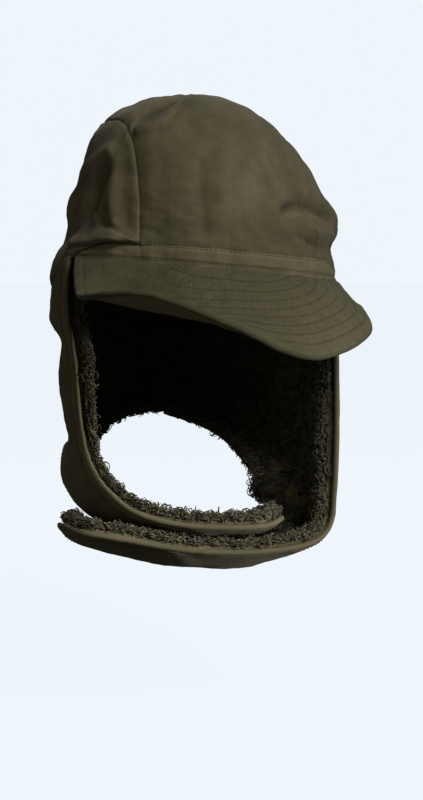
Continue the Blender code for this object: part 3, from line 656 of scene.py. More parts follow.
def line_lift(turn, rise):
    """Height of the sharp lines at places on the crown."""
    at = np.stack([np.degrees(turn) * DEGREE_LENGTH, rise * CROWN_RISE], axis=-1)
    lift = np.zeros(rise.shape)
    for line in CROWN_LINES:
        corners = np.array(line.points, float) * (DEGREE_LENGTH, CROWN_RISE)
        nearest = np.full(rise.shape, np.inf)
        to_left = np.zeros(rise.shape, bool)
        for start, end in zip(corners[:-1], corners[1:]):
            run = end - start
            away = at - start
            distance = segment_distance(at, start, end)
            closer = distance < nearest
            nearest = np.where(closer, distance, nearest)
            to_left = np.where(closer, run[0] * away[..., 1] > run[1] * away[..., 0], to_left)
        reach = np.where(to_left, line.left, line.right)
        lift += line.height * np.exp(-(nearest / reach) ** LINE_SHARPNESS)
    return lift


def crown_outward(points):
    return unit(np.stack([points[..., 0] / HALF_WIDTH ** 2, points[..., 1] / HALF_LENGTH ** 2,
                          np.maximum(points[..., 2], 0.0) / CROWN_RISE ** 2], axis=-1))


def crown_place(turn, step, seam_depth=0.0):
    """A place on the crown with all its folds, pulled in by the given depth at a seam."""
    point = crown_smooth(turn, step)
    lift = np.zeros(point.shape[:-1])
    for start, end, width, height in ALL_FOLDS:
        lift += height * bell(segment_distance(point, start, end), width)
    lift += line_lift(np.broadcast_to(turn, lift.shape), point[..., 2] / CROWN_RISE)
    lift += ripple(point, CROWN_WAVES) - seam_depth
    return worn(point + crown_outward(point) * lift[..., None])


def shade_and_stain_tone(places):
    """Tone of the painted shade, painted highlights and stain at places on the finished crown."""
    tone = np.zeros(places.shape[:-1])
    for patch in CROWN_SHADE_AND_STAINS:
        start = worn(on_crown(patch.turn, patch.rise))
        end = worn(on_crown(patch.to_turn, patch.to_rise))
        tone += patch.tone * bell(segment_distance(places, start, end), patch.width)
    return tone


def seam_aside(side, y):
    return HALF_WIDTH * getattr(read_table(PANEL_SEAMS, y / HALF_LENGTH, "along"), side)


def seam_drop(turn):
    share = clamp01((np.abs(np.degrees(turn)) - BAND_END) / (180.0 - BAND_END))
    return BACK_DEPTH * (1.0 - (1.0 - share) ** 2)


def band_top(turn):
    share = clamp01((BAND_END - np.abs(np.degrees(turn))) / BAND_TAPER)
    return BAND_HEIGHT * (1.0 - (1.0 - share) ** 2)


def crown_edge(turn):
    ahead = np.abs(np.degrees(turn)) < BAND_END
    return np.where(ahead, band_top(turn) - SEAM_TUCK, -SEAM_TUCK - seam_drop(turn))


def turn_on_line(side, share, step, behind):
    """Turn at which each ring crosses a line at this share of the way to the panels' seam."""
    sign = SIDE_SIGN[side]
    ring = read_table(CROWN_RINGS, step)

    def inside(turn):
        x, y = ring_outline(ring, sign * turn)
        return np.abs(x) < share * seam_aside(side, y)

    low = np.zeros_like(step)
    if behind:
        return sign * bisect(lambda turn: ~inside(turn), low + math.pi / 2, low + math.pi)
    return sign * bisect(inside, low, low + math.pi / 2)


def lowest_step(turn_at, low):
    """The ring number at which the crown ends, with the turn given by a function of it."""
    return bisect(lambda step: CROWN_RISE * read_table(CROWN_RINGS, step).rise
                  < crown_edge(turn_at(step)), low, np.full_like(low, LAST_RING))


def crown_line(side, share, samples=140):
    """Turns and ring numbers along lines over the crown, one column for each share."""
    share = np.atleast_1d(np.asarray(share, float))
    summit = bisect(lambda step: HALF_WIDTH * getattr(read_table(CROWN_RINGS, step), side)
                    > share * seam_aside(side, np.zeros_like(share)),
                    np.full_like(share, LAST_RING / 2), np.full_like(share, LAST_RING))
    halves = []
    for behind in (False, True):
        low = lowest_step(lambda step: turn_on_line(side, share, step, behind),
                          np.zeros_like(share))
        k = np.arange(samples)[:, None] / samples
        step = summit - (summit - low) * (1 - k) ** 2
        turn = turn_on_line(side, np.broadcast_to(share, step.shape), step, behind)
        halves.append((turn[::-1], step[::-1]) if behind else (turn, step))
    return np.concatenate([h[0] for h in halves]), np.concatenate([h[1] for h in halves])


def spread_evenly(turns, steps, cells, crowd=0.0):
    """Each column's turns and ring numbers at even distances along it, closer at its ends."""
    lengths = distances_along(crown_smooth(turns, steps))
    at = crowded(np.linspace(0, 1, cells + 1), crowd)
    new_turns = np.empty((cells + 1, turns.shape[1]))
    new_steps = np.empty_like(new_turns)
    for c in range(turns.shape[1]):
        where = at * lengths[-1, c]
        new_turns[:, c] = np.interp(where, lengths[:, c], turns[:, c])
        new_steps[:, c] = np.interp(where, lengths[:, c], steps[:, c])
    return new_turns, new_steps, at[:, None] * lengths[-1]


def crowded(even, crowd):
    return even - crowd * np.sin(2 * math.pi * even) / (2 * math.pi)


def centre_panel(columns=66, rows=180):
    a = np.linspace(-1, 1, columns + 1)
    across = np.sign(a) * (1 - (1 - np.abs(a)) ** 1.5)
    parts = []
    for side, chosen in (("right", across < 0), ("left", across >= 0)):
        share = np.abs(across[chosen]) * (1 - SEAM_GAP / 4 / seam_aside(side, 0.0))
        turns, steps, along = spread_evenly(*crown_line(side, share), rows, 0.75)
        to_seam = (1 - share) * HALF_WIDTH * 0.6
        to_end = np.minimum(along, along[-1] - along)
        depth = pull_in(to_seam, PANEL_SEAM)[None, :] + pull_in(to_end, CENTRE_PANEL_END)
        parts.append(crown_place(turns, steps, depth))
    return np.concatenate(parts, axis=1)


def side_panel(side, columns=160, rows=52):
    """Rows from the lower edge up to the seam, and one more tucked under the centre panel."""
    def seam_places(share):
        turns, steps = crown_line(side, share)
        turn, step, _ = spread_evenly(turns[1:-1], steps[1:-1], columns, 0.5)
        return turn[:, 0], step[:, 0], abs(turns[0, 0]), abs(turns[-1, 0])

    top_turn, top_step, first, last = seam_places(1.0 + SEAM_GAP / 4 / seam_aside(side, 0.0))
    turn = SIDE_SIGN[side] * mix(first, last, np.linspace(0, 1, columns + 1))
    low = lowest_step(lambda step: turn, np.zeros_like(turn))
    up = crowded(np.linspace(0, 1, rows + 1), 0.8)[:, None]
    turns, steps = mix(turn, top_turn, up), mix(low, top_step, up)
    length = distances_along(crown_smooth(turns, steps))
    depth = pull_in(length[-1] - length, PANEL_SEAM) + pull_in(length, SIDE_PANEL_END)
    under_turn, under_step, _, _ = seam_places(1.0 - SIDE_LAP)
    under = crown_place(under_turn, under_step, PANEL_SEAM.depth + SIDE_LAP_DEPTH)
    return np.concatenate([crown_place(turns, steps, depth), under[None]])


def band_place(turn, share):
    height = band_top(turn)
    z = height * share
    x, y = ring_outline(read_table(CROWN_RINGS, step_at_rise(z / CROWN_RISE)), turn)
    point = np.stack([x, y, z], axis=-1)
    lift = ripple(point, CROWN_WAVES)
    for groove in BAND_GROOVES:
        lift -= BAND_GROOVE_DEPTH * bell((share - groove) * height, BAND_GROOVE_WIDTH)
    for side, sign in SIDE_SIGN.items():
        aside = np.abs(np.abs(x) - seam_aside(side, y))
        lift -= np.where(np.sign(x) == sign, pull_in(aside, BAND_CROSS_SEAM), 0.0)
    lift -= pull_in(share * height, BAND_LOWER_EDGE)
    lift -= pull_in((1 - share) * height, BAND_UPPER_EDGE)
    return worn(point + crown_outward(point) * lift[..., None])


def band_grid(columns=300, rows=20):
    reach = math.radians(BAND_END - BAND_SPARE_TURN)
    turn = np.linspace(-reach, reach, columns + 1)[None, :]
    share = np.linspace(-BAND_TUCK, 1.0, rows + 1)[:, None]
    turn, share = np.broadcast_arrays(turn, share)
    return band_place(turn, share)


# The visor

def visor_smooth(turn, out):
    """turn in degrees, out from the band (0) to the rim (1)."""
    row = read_table(VISOR_SECTIONS, turn, "turn")
    ring = read_table(CROWN_RINGS, step_at_rise(np.zeros(1))[0])
    x, y = ring_outline(ring, np.radians(turn))
    sag = row.sag * np.sin(math.pi * out)
    x = x - VISOR_END_SPREAD * clamp01((-turn - VISOR_SPREAD_TURN) / VISOR_SPREAD_RUN) ** 1.5
    return worn(np.stack([x + VISOR_REACH * row.aside * out, y - VISOR_REACH * row.ahead * out,
                          -LAYER_GAP - VISOR_REACH * (row.drop * out + sag) + 0 * x], axis=-1))


def visor_lengths(turn):
    """Surface length from the band to the rim at each turn."""
    return line_lengths(visor_smooth(turn[None, :], np.linspace(0, 1, 13)[:, None]), 0)


def visor_end_distance(turn):
    run = np.radians(VISOR_END - np.abs(turn)) * HALF_WIDTH * VISOR_END_RUN
    return np.maximum(run, LEAST_DISTANCE)


def rim_distance(turn, out, length):
    """Distance from the visor's free edge, rounded at its corners."""
    ahead = np.maximum((1 - out) * length, LEAST_DISTANCE)
    end = visor_end_distance(turn)
    return (ahead ** -RIM_SHARPNESS + end ** -RIM_SHARPNESS) ** (-1 / RIM_SHARPNESS)


def quilt_lift(distance, points, turn):
    """The quilting's relief; it is pressed flat on the wearer's right, away from the rim."""
    lift = ripple(points, VISOR_WAVES)
    pressed = clamp01((turn - PRESSED_TURN) / PRESSED_RUN)
    for row in range(QUILT_ROWS):
        groove = QUILT_STRIP + row * QUILT_PITCH
        depth = QUILT_GROOVE * (pressed if row else RIM_GROOVE)
        lift -= depth * bell(distance - groove, QUILT_GROOVE_WIDTH)
    return lift + RIM_SWELL * bell(distance - QUILT_STRIP / 2, RIM_SWELL_WIDTH)


def visor_grid(columns=210, rows=84):
    turn = np.linspace(-VISOR_END, VISOR_END, columns + 1)
    length = visor_lengths(turn)[None, :]
    round_off = clamp01((np.abs(turn) - VISOR_END + CORNER_TURN) / CORNER_TURN)
    limit = 1 - CORNER_RADIUS / VISOR_REACH * (1 - np.sqrt(1 - round_off ** 2))
    out = np.linspace(-VISOR_TUCK, 1, rows + 1)[:, None] * limit[None, :]
    smooth = visor_smooth(turn[None, :], out)
    normals = grid_normals(smooth)
    normals *= np.sign(normals[rows // 2, columns // 2, 2])
    lift = quilt_lift(rim_distance(turn[None, :], out, length), smooth, turn[None, :])
    lift -= pull_in(out * length, VISOR_ROOT)
    return smooth + normals * lift[..., None], normals


def visor_stitch_rows():
    """Centre lines of the quilting's stitches, with their upward directions."""
    turn = np.linspace(-VISOR_END, VISOR_END, 700)
    length = visor_lengths(turn)
    end = visor_end_distance(turn)
    lines = []
    for row in range(QUILT_ROWS):
        level = QUILT_STRIP + row * QUILT_PITCH
        open_here = end > level * 1.002
        ahead = np.full(turn.shape, np.inf)
        ahead[open_here] = (level ** -RIM_SHARPNESS - end[open_here] ** -RIM_SHARPNESS) ** (
            -1 / RIM_SHARPNESS)
        out = 1 - ahead / length
        inside = (out > QUILT_STITCH_ROOT) & ((turn > QUILT_STITCH_TURN) | (row == 0))
        chosen, out = turn[inside], out[inside]
        if len(chosen) <= 8:
            continue
        here = visor_smooth(chosen, out)
        beside = visor_smooth(chosen + 0.05, out)
        above = visor_smooth(chosen, out - 0.002)
        normal = unit(np.cross(beside - here, above - here))
        normal *= np.sign(normal[:, 2:3])
        lift = quilt_lift(np.full(chosen.shape, level), here, chosen) + VISOR_STITCH_LIFT
        lines.append((here + normal * lift[:, None], normal))
    return lines


# The flaps

def flap_smooth(side, way, depth):
    sign = SIDE_SIGN[side]
    seam_turn = np.radians(mix(180.0, FLAP_START, way))
    upper = read_table(FLAP_LEVELS[side], FLAP_SEAM_LEVEL, "drop")
    seam_x = sign * HALF_WIDTH * upper.side * np.sin(seam_turn)
    top = FLAP_TUCK - seam_drop(seam_turn) - LEAN * seam_x
    edge = read_table(FLAP_EDGES[side], way, "way")
    z = mix(top, -FLAP_LENGTH * edge.drop, depth)
    level = read_table(FLAP_LEVELS[side], -z / FLAP_LENGTH, "drop")
    turn = np.radians(mix(180.0, level.edge, way))
    ahead = np.where(np.cos(turn) >= 0, 1.0, level.back)
    tuck = 1.0 - edge.tuck * depth ** FLAP_TUCK_POWER
    aside = np.maximum(HALF_WIDTH * level.side * np.sin(turn) * tuck, SEAM_GAP / 2)
    if side == "right":
        aside = aside - BACK_LAP * clamp01(1 - way / BACK_LAP_SPAN)
    return np.stack([sign * aside, -HALF_LENGTH * ahead * np.cos(turn) * tuck, z], axis=-1)


def flap_place(side, way, depth):
    way, depth = np.broadcast_arrays(np.asarray(way, float), np.asarray(depth, float))
    point = flap_smooth(side, way, depth)
    outward = unit(point * np.array([1.0, 1.0, 0.0]))
    lift = np.zeros(way.shape)
    for crease in FLAP_CREASES[side]:
        start = flap_smooth(side, np.float64(crease.way), np.float64(crease.depth))
        end = flap_smooth(side, np.float64(crease.to_way), np.float64(crease.to_depth))
        near = bell(segment_distance(point, start, end), crease.width * FLAP_LENGTH)
        lift += crease.height * FLAP_LENGTH * near
    lift -= pull_in(np.abs(point[..., 0]), CENTRE_BACK_SEAM)
    lift -= pull_in(depth * FLAP_HEIGHT, FLAP_UPPER_EDGE)
    if side == "right":
        lift -= np.where(point[..., 0] > -SEAM_GAP / 2, BACK_LAP_DEPTH, 0.0)
    return hung(point + outward * lift[..., None])


def tab_section(side, number, back):
    """Places across a tab at one station; back runs from 1 to 0 at its front edge."""
    sign = SIDE_SIGN[side]
    stations = TAB_STATIONS[side]
    here = stations[number]
    before = stations[max(number - 1, 0)]
    after = stations[min(number + 1, len(stations) - 1)]
    run = unit(np.array([(after.across - before.across) * sign * HALF_WIDTH, 0.0,
                         (before.drop - after.drop) * FLAP_LENGTH]))
    outward = np.array([-run[2], 0.0, run[0]]) * sign
    x = np.full(back.shape, sign * HALF_WIDTH * here.across)
    y = HALF_LENGTH * mix(here.front, here.back, back)
    z = np.full(back.shape, -FLAP_LENGTH * here.drop)
    belly = here.curl * TAB_CURL * np.sin(math.pi * back / TAB_BELLY_SPAN)
    tuck = here.tuck * HALF_WIDTH * back ** 2
    return hung(np.stack([x, y, z], axis=-1)) + outward * (belly - tuck)[..., None]


def tab_rows(side, back, steps):
    """Rows of the tab on the smooth curve through its stations and the flap's last rows."""
    way = 1 - back * TAB_COLUMNS / FLAP_COLUMNS
    control = [flap_place(side, way, (FLAP_ROWS - 1) / FLAP_ROWS), flap_place(side, way, 1.0)]
    control += [tab_section(side, n, back) for n in range(len(TAB_STATIONS[side]))]
    control.append(control[-1])
    rows = []
    for n in range(1, len(control) - 2):
        before, start, end, after = control[n - 1:n + 3]
        for k in range(steps):
            t = (k + 1) / steps
            leave, arrive = (end - before) / 2, (after - start) / 2
            if n == len(control) - 3:
                arrive = end - start
            rows.append(start * (2 * t ** 3 - 3 * t ** 2 + 1) + leave * (t ** 3 - 2 * t ** 2 + t)
                        + end * (3 * t ** 2 - 2 * t ** 3) + arrive * (t ** 3 - t ** 2))
    return rows


class Flap:
    """One flap's outer face on a fine grid, with its corners by row, smooth and with the
    cloth's waves (outer)."""

    def __init__(self, side, back_cells=60, front_cells=38, depth_cells=44, tab_steps=6):
        self.side = side
        start = 1 - TAB_COLUMNS / FLAP_COLUMNS
        way = np.concatenate([np.linspace(0, start, back_cells + 1)[:-1],
                              np.linspace(start, 1, front_cells + 1)])
        body = flap_place(side, way[None, :], np.linspace(0, 1, depth_cells + 1)[:, None])
        tab = np.array(tab_rows(side, np.linspace(1, 0, front_cells + 1), tab_steps))
        self.places = np.concatenate([body.reshape(-1, 3), tab.reshape(-1, 3)])
        numbers = np.arange(len(self.places))
        split = len(self.places) - tab.shape[0] * tab.shape[1]
        self.body = numbers[:split].reshape(body.shape[:2])
        self.tab = numbers[split:].reshape(tab.shape[:2])
        self.junction = back_cells
        rows = np.concatenate([self.body[-1:, back_cells:], self.tab])
        self.faces = np.concatenate([quads(self.body), quads(rows)])
        if side == "right":
            self.faces = self.faces[:, ::-1]
        self.normals = mesh_normals(self.places, self.faces)
        self.outer = self.places + self.normals * ripple(self.places, FLAP_WAVES)[:, None]

    def edge(self):
        """Corner numbers of the free edge: front edge, tab's tip, tab's back edge, neck."""
        j = self.junction
        return np.concatenate([self.body[:, -1], self.tab[:, -1], self.tab[-1, -2:0:-1],
                               self.tab[::-1, 0], self.body[-1, j::-1]])

    def edge_frame(self):
        """The free edge, smoothed, with its outward normals and the ways straight out of it."""
        numbers = self.edge()
        line = smoothed(self.places[numbers], 4)
        ups = unit(smoothed(self.normals[numbers], 4))
        out = np.cross(unit(np.gradient(line, axis=0)), ups)
        inner = self.places[self.body[0, -3]]
        return line, ups, out * math.copysign(1.0, float(out[0] @ (line[0] - inner)))


# Materials

def set_inputs(node, **values):
    for name, value in values.items():
        node.inputs[name.replace("_", " ")].default_value = value


def add_node(tree, kind, links=None, **values):
    """A node with values at its inputs, and outputs of other nodes linked to them by name."""
    node = tree.nodes.new(kind)
    set_inputs(node, **values)
    for name, output in (links or {}).items():
        tree.links.new(output, node.inputs[name])
    return node


def noise(tree, place, scale, detail, roughness):
    return add_node(tree, "ShaderNodeTexNoise", {"Vector": place}, Scale=scale, Detail=detail,
                    Roughness=roughness).outputs["Fac"]


def blend(tree, share, a, b):
    return add_node(tree, "ShaderNodeMix", {"A": a, "B": b}, Factor=share).outputs["Result"]


def colour_ramp(tree, source, *stops):
    """Colours between two stops, each a position with its colour."""
    ramp = add_node(tree, "ShaderNodeValToRGB", {"Fac": source})
    for element, (position, colour) in zip(ramp.color_ramp.elements, stops):
        element.position = position
        element.color = (*colour, 1)
    return ramp.outputs["Color"]


def roughen(tree, shader, height, strength, distance):
    bump = add_node(tree, "ShaderNodeBump", {"Height": height}, Strength=strength,
                    Distance=distance)
    tree.links.new(bump.outputs["Normal"], shader.inputs["Normal"])


def node_material(name):
    made = bpy.data.materials.new(name)
    made.use_nodes = True
    tree = made.node_tree
    return made, tree, tree.nodes["Principled BSDF"]


def toned(tree, colour):
    """The colour, darker or paler by the crown's painted shade, painted highlights and stain."""
    tone = tree.nodes.new("ShaderNodeAttribute")
    tone.attribute_name = "tone"
    kept = tree.nodes.new("ShaderNodeMath")
    kept.operation = "SUBTRACT"
    kept.inputs[0].default_value = 1.0
    tree.links.new(tone.outputs["Fac"], kept.inputs[1])
    scaled = tree.nodes.new("ShaderNodeVectorMath")
    scaled.operation = "SCALE"
    tree.links.new(colour, scaled.inputs["Vector"])
    tree.links.new(kept.outputs["Value"], scaled.inputs["Scale"])
    return scaled.outputs["Vector"]


def cloth_material(name, dark, light, weave=0.25, ridge_and_crease_shade=0.35):
    """Matte cotton: mottled colour, a fine diagonal weave, and by the surface's curvature paler
    ridges and darker creases, the darker creases a painted shade.
    """
    made, tree, shader = node_material(name)
    place = tree.nodes.new("ShaderNodeTexCoord").outputs["Object"]
    upright = add_node(tree, "ShaderNodeMapping", {"Vector": place}, Scale=(1.0, 1.0, 0.10))
    fine = noise(tree, place, 900.0, 3.0, 0.7)
    threads = noise(tree, upright.outputs["Vector"], 420.0, 2.0, 0.6)
    broad = noise(tree, place, 22.0, 5.0, 0.6)
    mottle = blend(tree, 0.45, broad, blend(tree, 0.5, fine, threads))
    # Curvature in the colour: paler on ridges, darker in creases as painted shade.
    pointiness = tree.nodes.new("ShaderNodeNewGeometry").outputs["Pointiness"]
    ridge = add_node(tree, "ShaderNodeMapRange", {"Value": pointiness}, From_Min=0.47,
                     From_Max=0.56)
    source = blend(tree, ridge_and_crease_shade, mottle, ridge.outputs["Result"])
    stained = tree.nodes.new("ShaderNodeMixRGB")
    stained.blend_type = "MULTIPLY"
    set_inputs(stained, Fac=1.0)
    tree.links.new(colour_ramp(tree, source, (0.34, dark), (0.66, light)),
                   stained.inputs["Color1"])
    marks = noise(tree, place, 26.0, 6.0, 0.55)
    tree.links.new(colour_ramp(tree, marks, (0.30, STAIN), (0.50, (1, 1, 1))),
                   stained.inputs["Color2"])
    tree.links.new(toned(tree, stained.outputs["Color"]), shader.inputs["Base Color"])
    twill = add_node(tree, "ShaderNodeTexWave", {"Vector": place}, Scale=900.0, Distortion=2.0,
                     Detail=1.0)
    twill.bands_direction = "DIAGONAL"
    roughen(tree, shader, blend(tree, 0.5, twill.outputs["Fac"], fine), weave, 0.0004)
    set_inputs(shader, Roughness=0.88, Specular_IOR_Level=0.25, Sheen_Weight=0.06,
               Sheen_Roughness=0.5)
    return made


def pile_material(name, dark, light):
    """Curly pile: each tuft its own tone. A paler copy stands for pile where light falls on it, a
    painted light.
    """
    made, tree, shader = node_material(name)
    place = tree.nodes.new("ShaderNodeTexCoord").outputs["Object"]
    tufts = noise(tree, place, 140.0, 4.0, 0.65)
    tree.links.new(colour_ramp(tree, tufts, (0.36, dark), (0.66, light)),
                   shader.inputs["Base Color"])
    roughen(tree, shader, noise(tree, place, 1300.0, 2.0, 0.6), 0.5, 0.0006)
    set_inputs(shader, Roughness=0.8, Specular_IOR_Level=0.3, Sheen_Weight=0.25,
               Sheen_Roughness=0.45)
    return made


CLOTH = cloth_material("olive_cotton", (0.082, 0.072, 0.038), (0.146, 0.128, 0.074))
BAND_CLOTH = cloth_material("band_cotton", (0.104, 0.092, 0.052), (0.184, 0.162, 0.098))
VISOR_CLOTH = cloth_material("visor_cotton", (0.054, 0.050, 0.025), (0.098, 0.090, 0.048))
HEM_CLOTH = cloth_material("hem_cotton", (0.098, 0.088, 0.050), (0.160, 0.145, 0.086))
UNDER_CLOTH = cloth_material("visor_under_cotton", (0.120, 0.100, 0.050), (0.180, 0.150, 0.078))
THREAD = cloth_material("thread", (0.046, 0.040, 0.021), (0.080, 0.070, 0.040), 0.1, 0.0)
# Two copies of one pile: the darker for the pile in general, and the paler as painted light for
# pile lit at the free edge and on the tab.
PILE = pile_material("curly_pile", (0.012, 0.013, 0.005), (0.070, 0.066, 0.034))
LIT_PILE_COPY = pile_material("pile_tips", (0.040, 0.036, 0.018), (0.128, 0.116, 0.062))


# Pieces

def make_mesh(name, places, faces):
    mesh = bpy.data.meshes.new(name)
    mesh.vertices.add(len(places))
    mesh.vertices.foreach_set("co", np.ascontiguousarray(places, dtype=np.float32).ravel())
    mesh.loops.add(faces.size)
    mesh.loops.foreach_set("vertex_index", np.ascontiguousarray(faces, dtype=np.int32).ravel())
    mesh.polygons.add(len(faces))
    starts = np.arange(0, faces.size, faces.shape[1], dtype=np.int32)
    mesh.polygons.foreach_set("loop_start", starts)
    mesh.update(calc_edges=True)
    return mesh


def show(thing, finish, nodes=()):
    thing.data.materials.append(finish)
    bpy.context.scene.collection.objects.link(thing)
    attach(thing, "root")
    if nodes:
        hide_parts(*nodes)


def cloth_piece(name, places, faces, wall, finish, nodes):
    """A smooth piece that stands for the given nodes, with its wall on the inner side."""
    mesh = make_mesh(name, places, faces)
    mesh.shade_smooth()
    piece = bpy.data.objects.new(name, mesh)
    show(piece, finish, nodes)
    if wall:
        solid = piece.modifiers.new("wall", "SOLIDIFY")
        solid.thickness = wall
        solid.offset = -1.0
    return piece


def second_finish(piece, finish, chosen):
    """Another material for the chosen faces."""
    piece.data.materials.append(finish)
    piece.data.polygons.foreach_set("material_index", chosen.astype(np.int32))


def away_from_head(point):
    return unit(np.asarray(point) - HEAD_CENTRE)


def grid_piece(name, grid, wall, finish, nodes, way=None):
    """A piece from a grid, its faces turned to look the given way, or away from the head."""
    places, faces = grid.reshape(-1, 3), grid_faces(grid)
    middle = grid.shape[0] // 2 * grid.shape[1] + grid.shape[1] // 2
    if way is None:
        way = away_from_head(places[middle])
    if float(mesh_normals(places, faces)[middle] @ way) < 0:
        faces = faces[:, ::-1]
    return cloth_piece(name, places, faces, wall, finish, nodes)


def swept(line, ups, half_up, half_aside, sides=HEM_SIDES):
    """A strip with an oval section along a line."""
    tangents = unit(np.gradient(line, axis=0))
    asides = unit(np.cross(tangents, ups))
    ups = np.cross(asides, tangents)
    angles = np.linspace(0, 2 * math.pi, sides, endpoint=False)[None, :, None]
    rings = (line[:, None] + np.cos(angles) * asides[:, None] * half_aside[:, None, None]
             + np.sin(angles) * ups[:, None] * half_up[:, None, None])
    numbers = np.arange(len(line) * sides).reshape(len(line), sides)
    wrapped = np.concatenate([numbers, numbers[:, :1]], axis=1)
    return rings.reshape(-1, 3), quads(wrapped)


def resampled(line, pitch, others):
    """A line and what goes with its points, at even distances of about the pitch."""
    lengths = distances_along(line)
    count = max(int(lengths[-1] / pitch), 2)
    at = np.linspace(0, lengths[-1], count + 1)
    return [np.stack([np.interp(at, lengths, values[:, k]) for k in range(3)], axis=1)
            for values in (line, others)]


def tube_faces(count, rings, sides):
    """Faces of so many open tubes, each with its own rings of corners."""
    first = np.arange(count)[:, None] * rings * sides
    faces = []
    for k in range(rings - 1):
        for s in range(sides):
            a, b = k * sides + s, k * sides + (s + 1) % sides
            faces.append(first + np.array([[a, b, b + sides, a + sides]]))
    return np.concatenate(faces)


def stitches(name, rows, finish):
    """Short threads along lines, each with its outward directions."""
    places = []
    for line, ups in rows:
        fine, up = resampled(line, STITCH_PITCH, ups)
        if len(fine) < 3:
            continue
        runs = unit(np.diff(fine, axis=0))
        up = unit(up[:-1])
        asides = unit(np.cross(runs, up))
        rings = []
        for share, height, thickness in STITCH_RINGS:
            centre = fine[:-1] + runs * STITCH_LENGTH * share + up * STITCH_RADIUS * height
            r = STITCH_RADIUS * thickness
            rings.append(np.stack([centre + asides * r * STITCH_WIDTH, centre + up * r,
                                   centre - asides * r * STITCH_WIDTH, centre - up * r], axis=1))
        places.append(np.stack(rings, axis=1).reshape(-1, 3))
    places = np.concatenate(places)
    count = len(places) // (len(STITCH_RINGS) * STITCH_SIDES)
    mesh = make_mesh(name, places, tube_faces(count, len(STITCH_RINGS), STITCH_SIDES))
    show(bpy.data.objects.new(name, mesh), finish)


def build_crown():
    centre = centre_panel()
    panels = [grid_piece("crown_center", centre, CROWN_WALL, CLOTH, ["crown_center_panel"])]
    sides = {side: side_panel(side) for side in SIDE_SIGN}
    for side, grid in sides.items():
        panels.append(grid_piece("crown_side_" + side, grid, CROWN_WALL, CLOTH,
                                 ["crown_side_panel_" + side]))
    band = grid_piece("band", band_grid(), BAND_WALL, BAND_CLOTH, ["crown_band"])
    band_grid()
    # The crown's painted shade, painted highlights and stain, kept as each panel's tone
    # attribute.
    for panel in panels:
        places = np.empty(len(panel.data.vertices) * 3, dtype=np.float32)
        panel.data.vertices.foreach_get("co", places)
        tone = shade_and_stain_tone(places.reshape(-1, 3).astype(float)).astype(np.float32)
        panel.data.attributes.new("tone", "FLOAT", "POINT").data.foreach_set("value", tone)


def build_band_stitches():
    reach = BAND_END - BAND_STITCH_SPARE
    turns = np.radians(np.linspace(-reach, reach, 500))
    lines = [band_place(turns, np.full(turns.shape, groove)) for groove in BAND_GROOVES]
    stitches("band_stitches", [(line, away_from_head(line)) for line in lines], THREAD)


def build_visor():
    grid, normals = visor_grid()
    grid_piece("visor", grid, VISOR_WALL, VISOR_CLOTH, ["visor_top"], UP)
    under = (grid - normals * (VISOR_WALL + LAYER_GAP))[::2, ::2]
    grid_piece("visor_under", under, VISOR_UNDER_WALL, UNDER_CLOTH, ["visor_underside"], UP)
    stitches("visor_stitches", visor_stitch_rows(), VISOR_CLOTH)

    # the turned edge, round the right end, the rim and the left end
    line, ups = (np.concatenate([values[:, 0], values[-1, 1:-1], values[::-1, -1]])
                 for values in (grid, normals))
    half = (VISOR_WALL + LAYER_GAP + VISOR_UNDER_WALL) / 2
    line = smoothed(line - ups * half, 10)
    halves = np.full(len(line), half + VISOR_EDGE_SWELL)
    places, faces = swept(line, unit(smoothed(ups, 10)), halves, halves * VISOR_EDGE_WIDTH)
    cloth_piece("visor_edge", places, faces, 0, VISOR_CLOTH, ["visor_top"])


def build_flap(flap):
    side = flap.side
    shell = cloth_piece("flap_" + side, flap.outer, flap.faces, FLAP_WALL, CLOTH,
                        ["flap_shell_" + side])
    line, ups, out = flap.edge_frame()
    centre = smoothed(line - ups * FLAP_WALL / 2 + out * (BINDING_RADIUS - HEM_OVERLAP), 3)
    radius = BINDING_RADIUS * (1 + ripple(centre, HEM_WAVES))
    places, faces = swept(centre, ups, radius * HEM_HEIGHT, radius * HEM_WIDTH)
    hem = cloth_piece("hem_" + side, places, faces, 0, HEM_CLOTH,
                      ["flap_binding_" + side])


def hem_row(flap):
    """A line on the shell beside the free edge, for its stitches."""
    line, ups, out = flap.edge_frame()
    row = smoothed(line - out * HEM_ROW, 6)
    for n, place in enumerate(row):
        nearest = np.argmin(np.linalg.norm(flap.places - place, axis=1))
        up = flap.normals[nearest]
        row[n] = place + up * (float((flap.outer[nearest] - place) @ up) + HEM_STITCH_LIFT)
    return smoothed(row, 2), ups


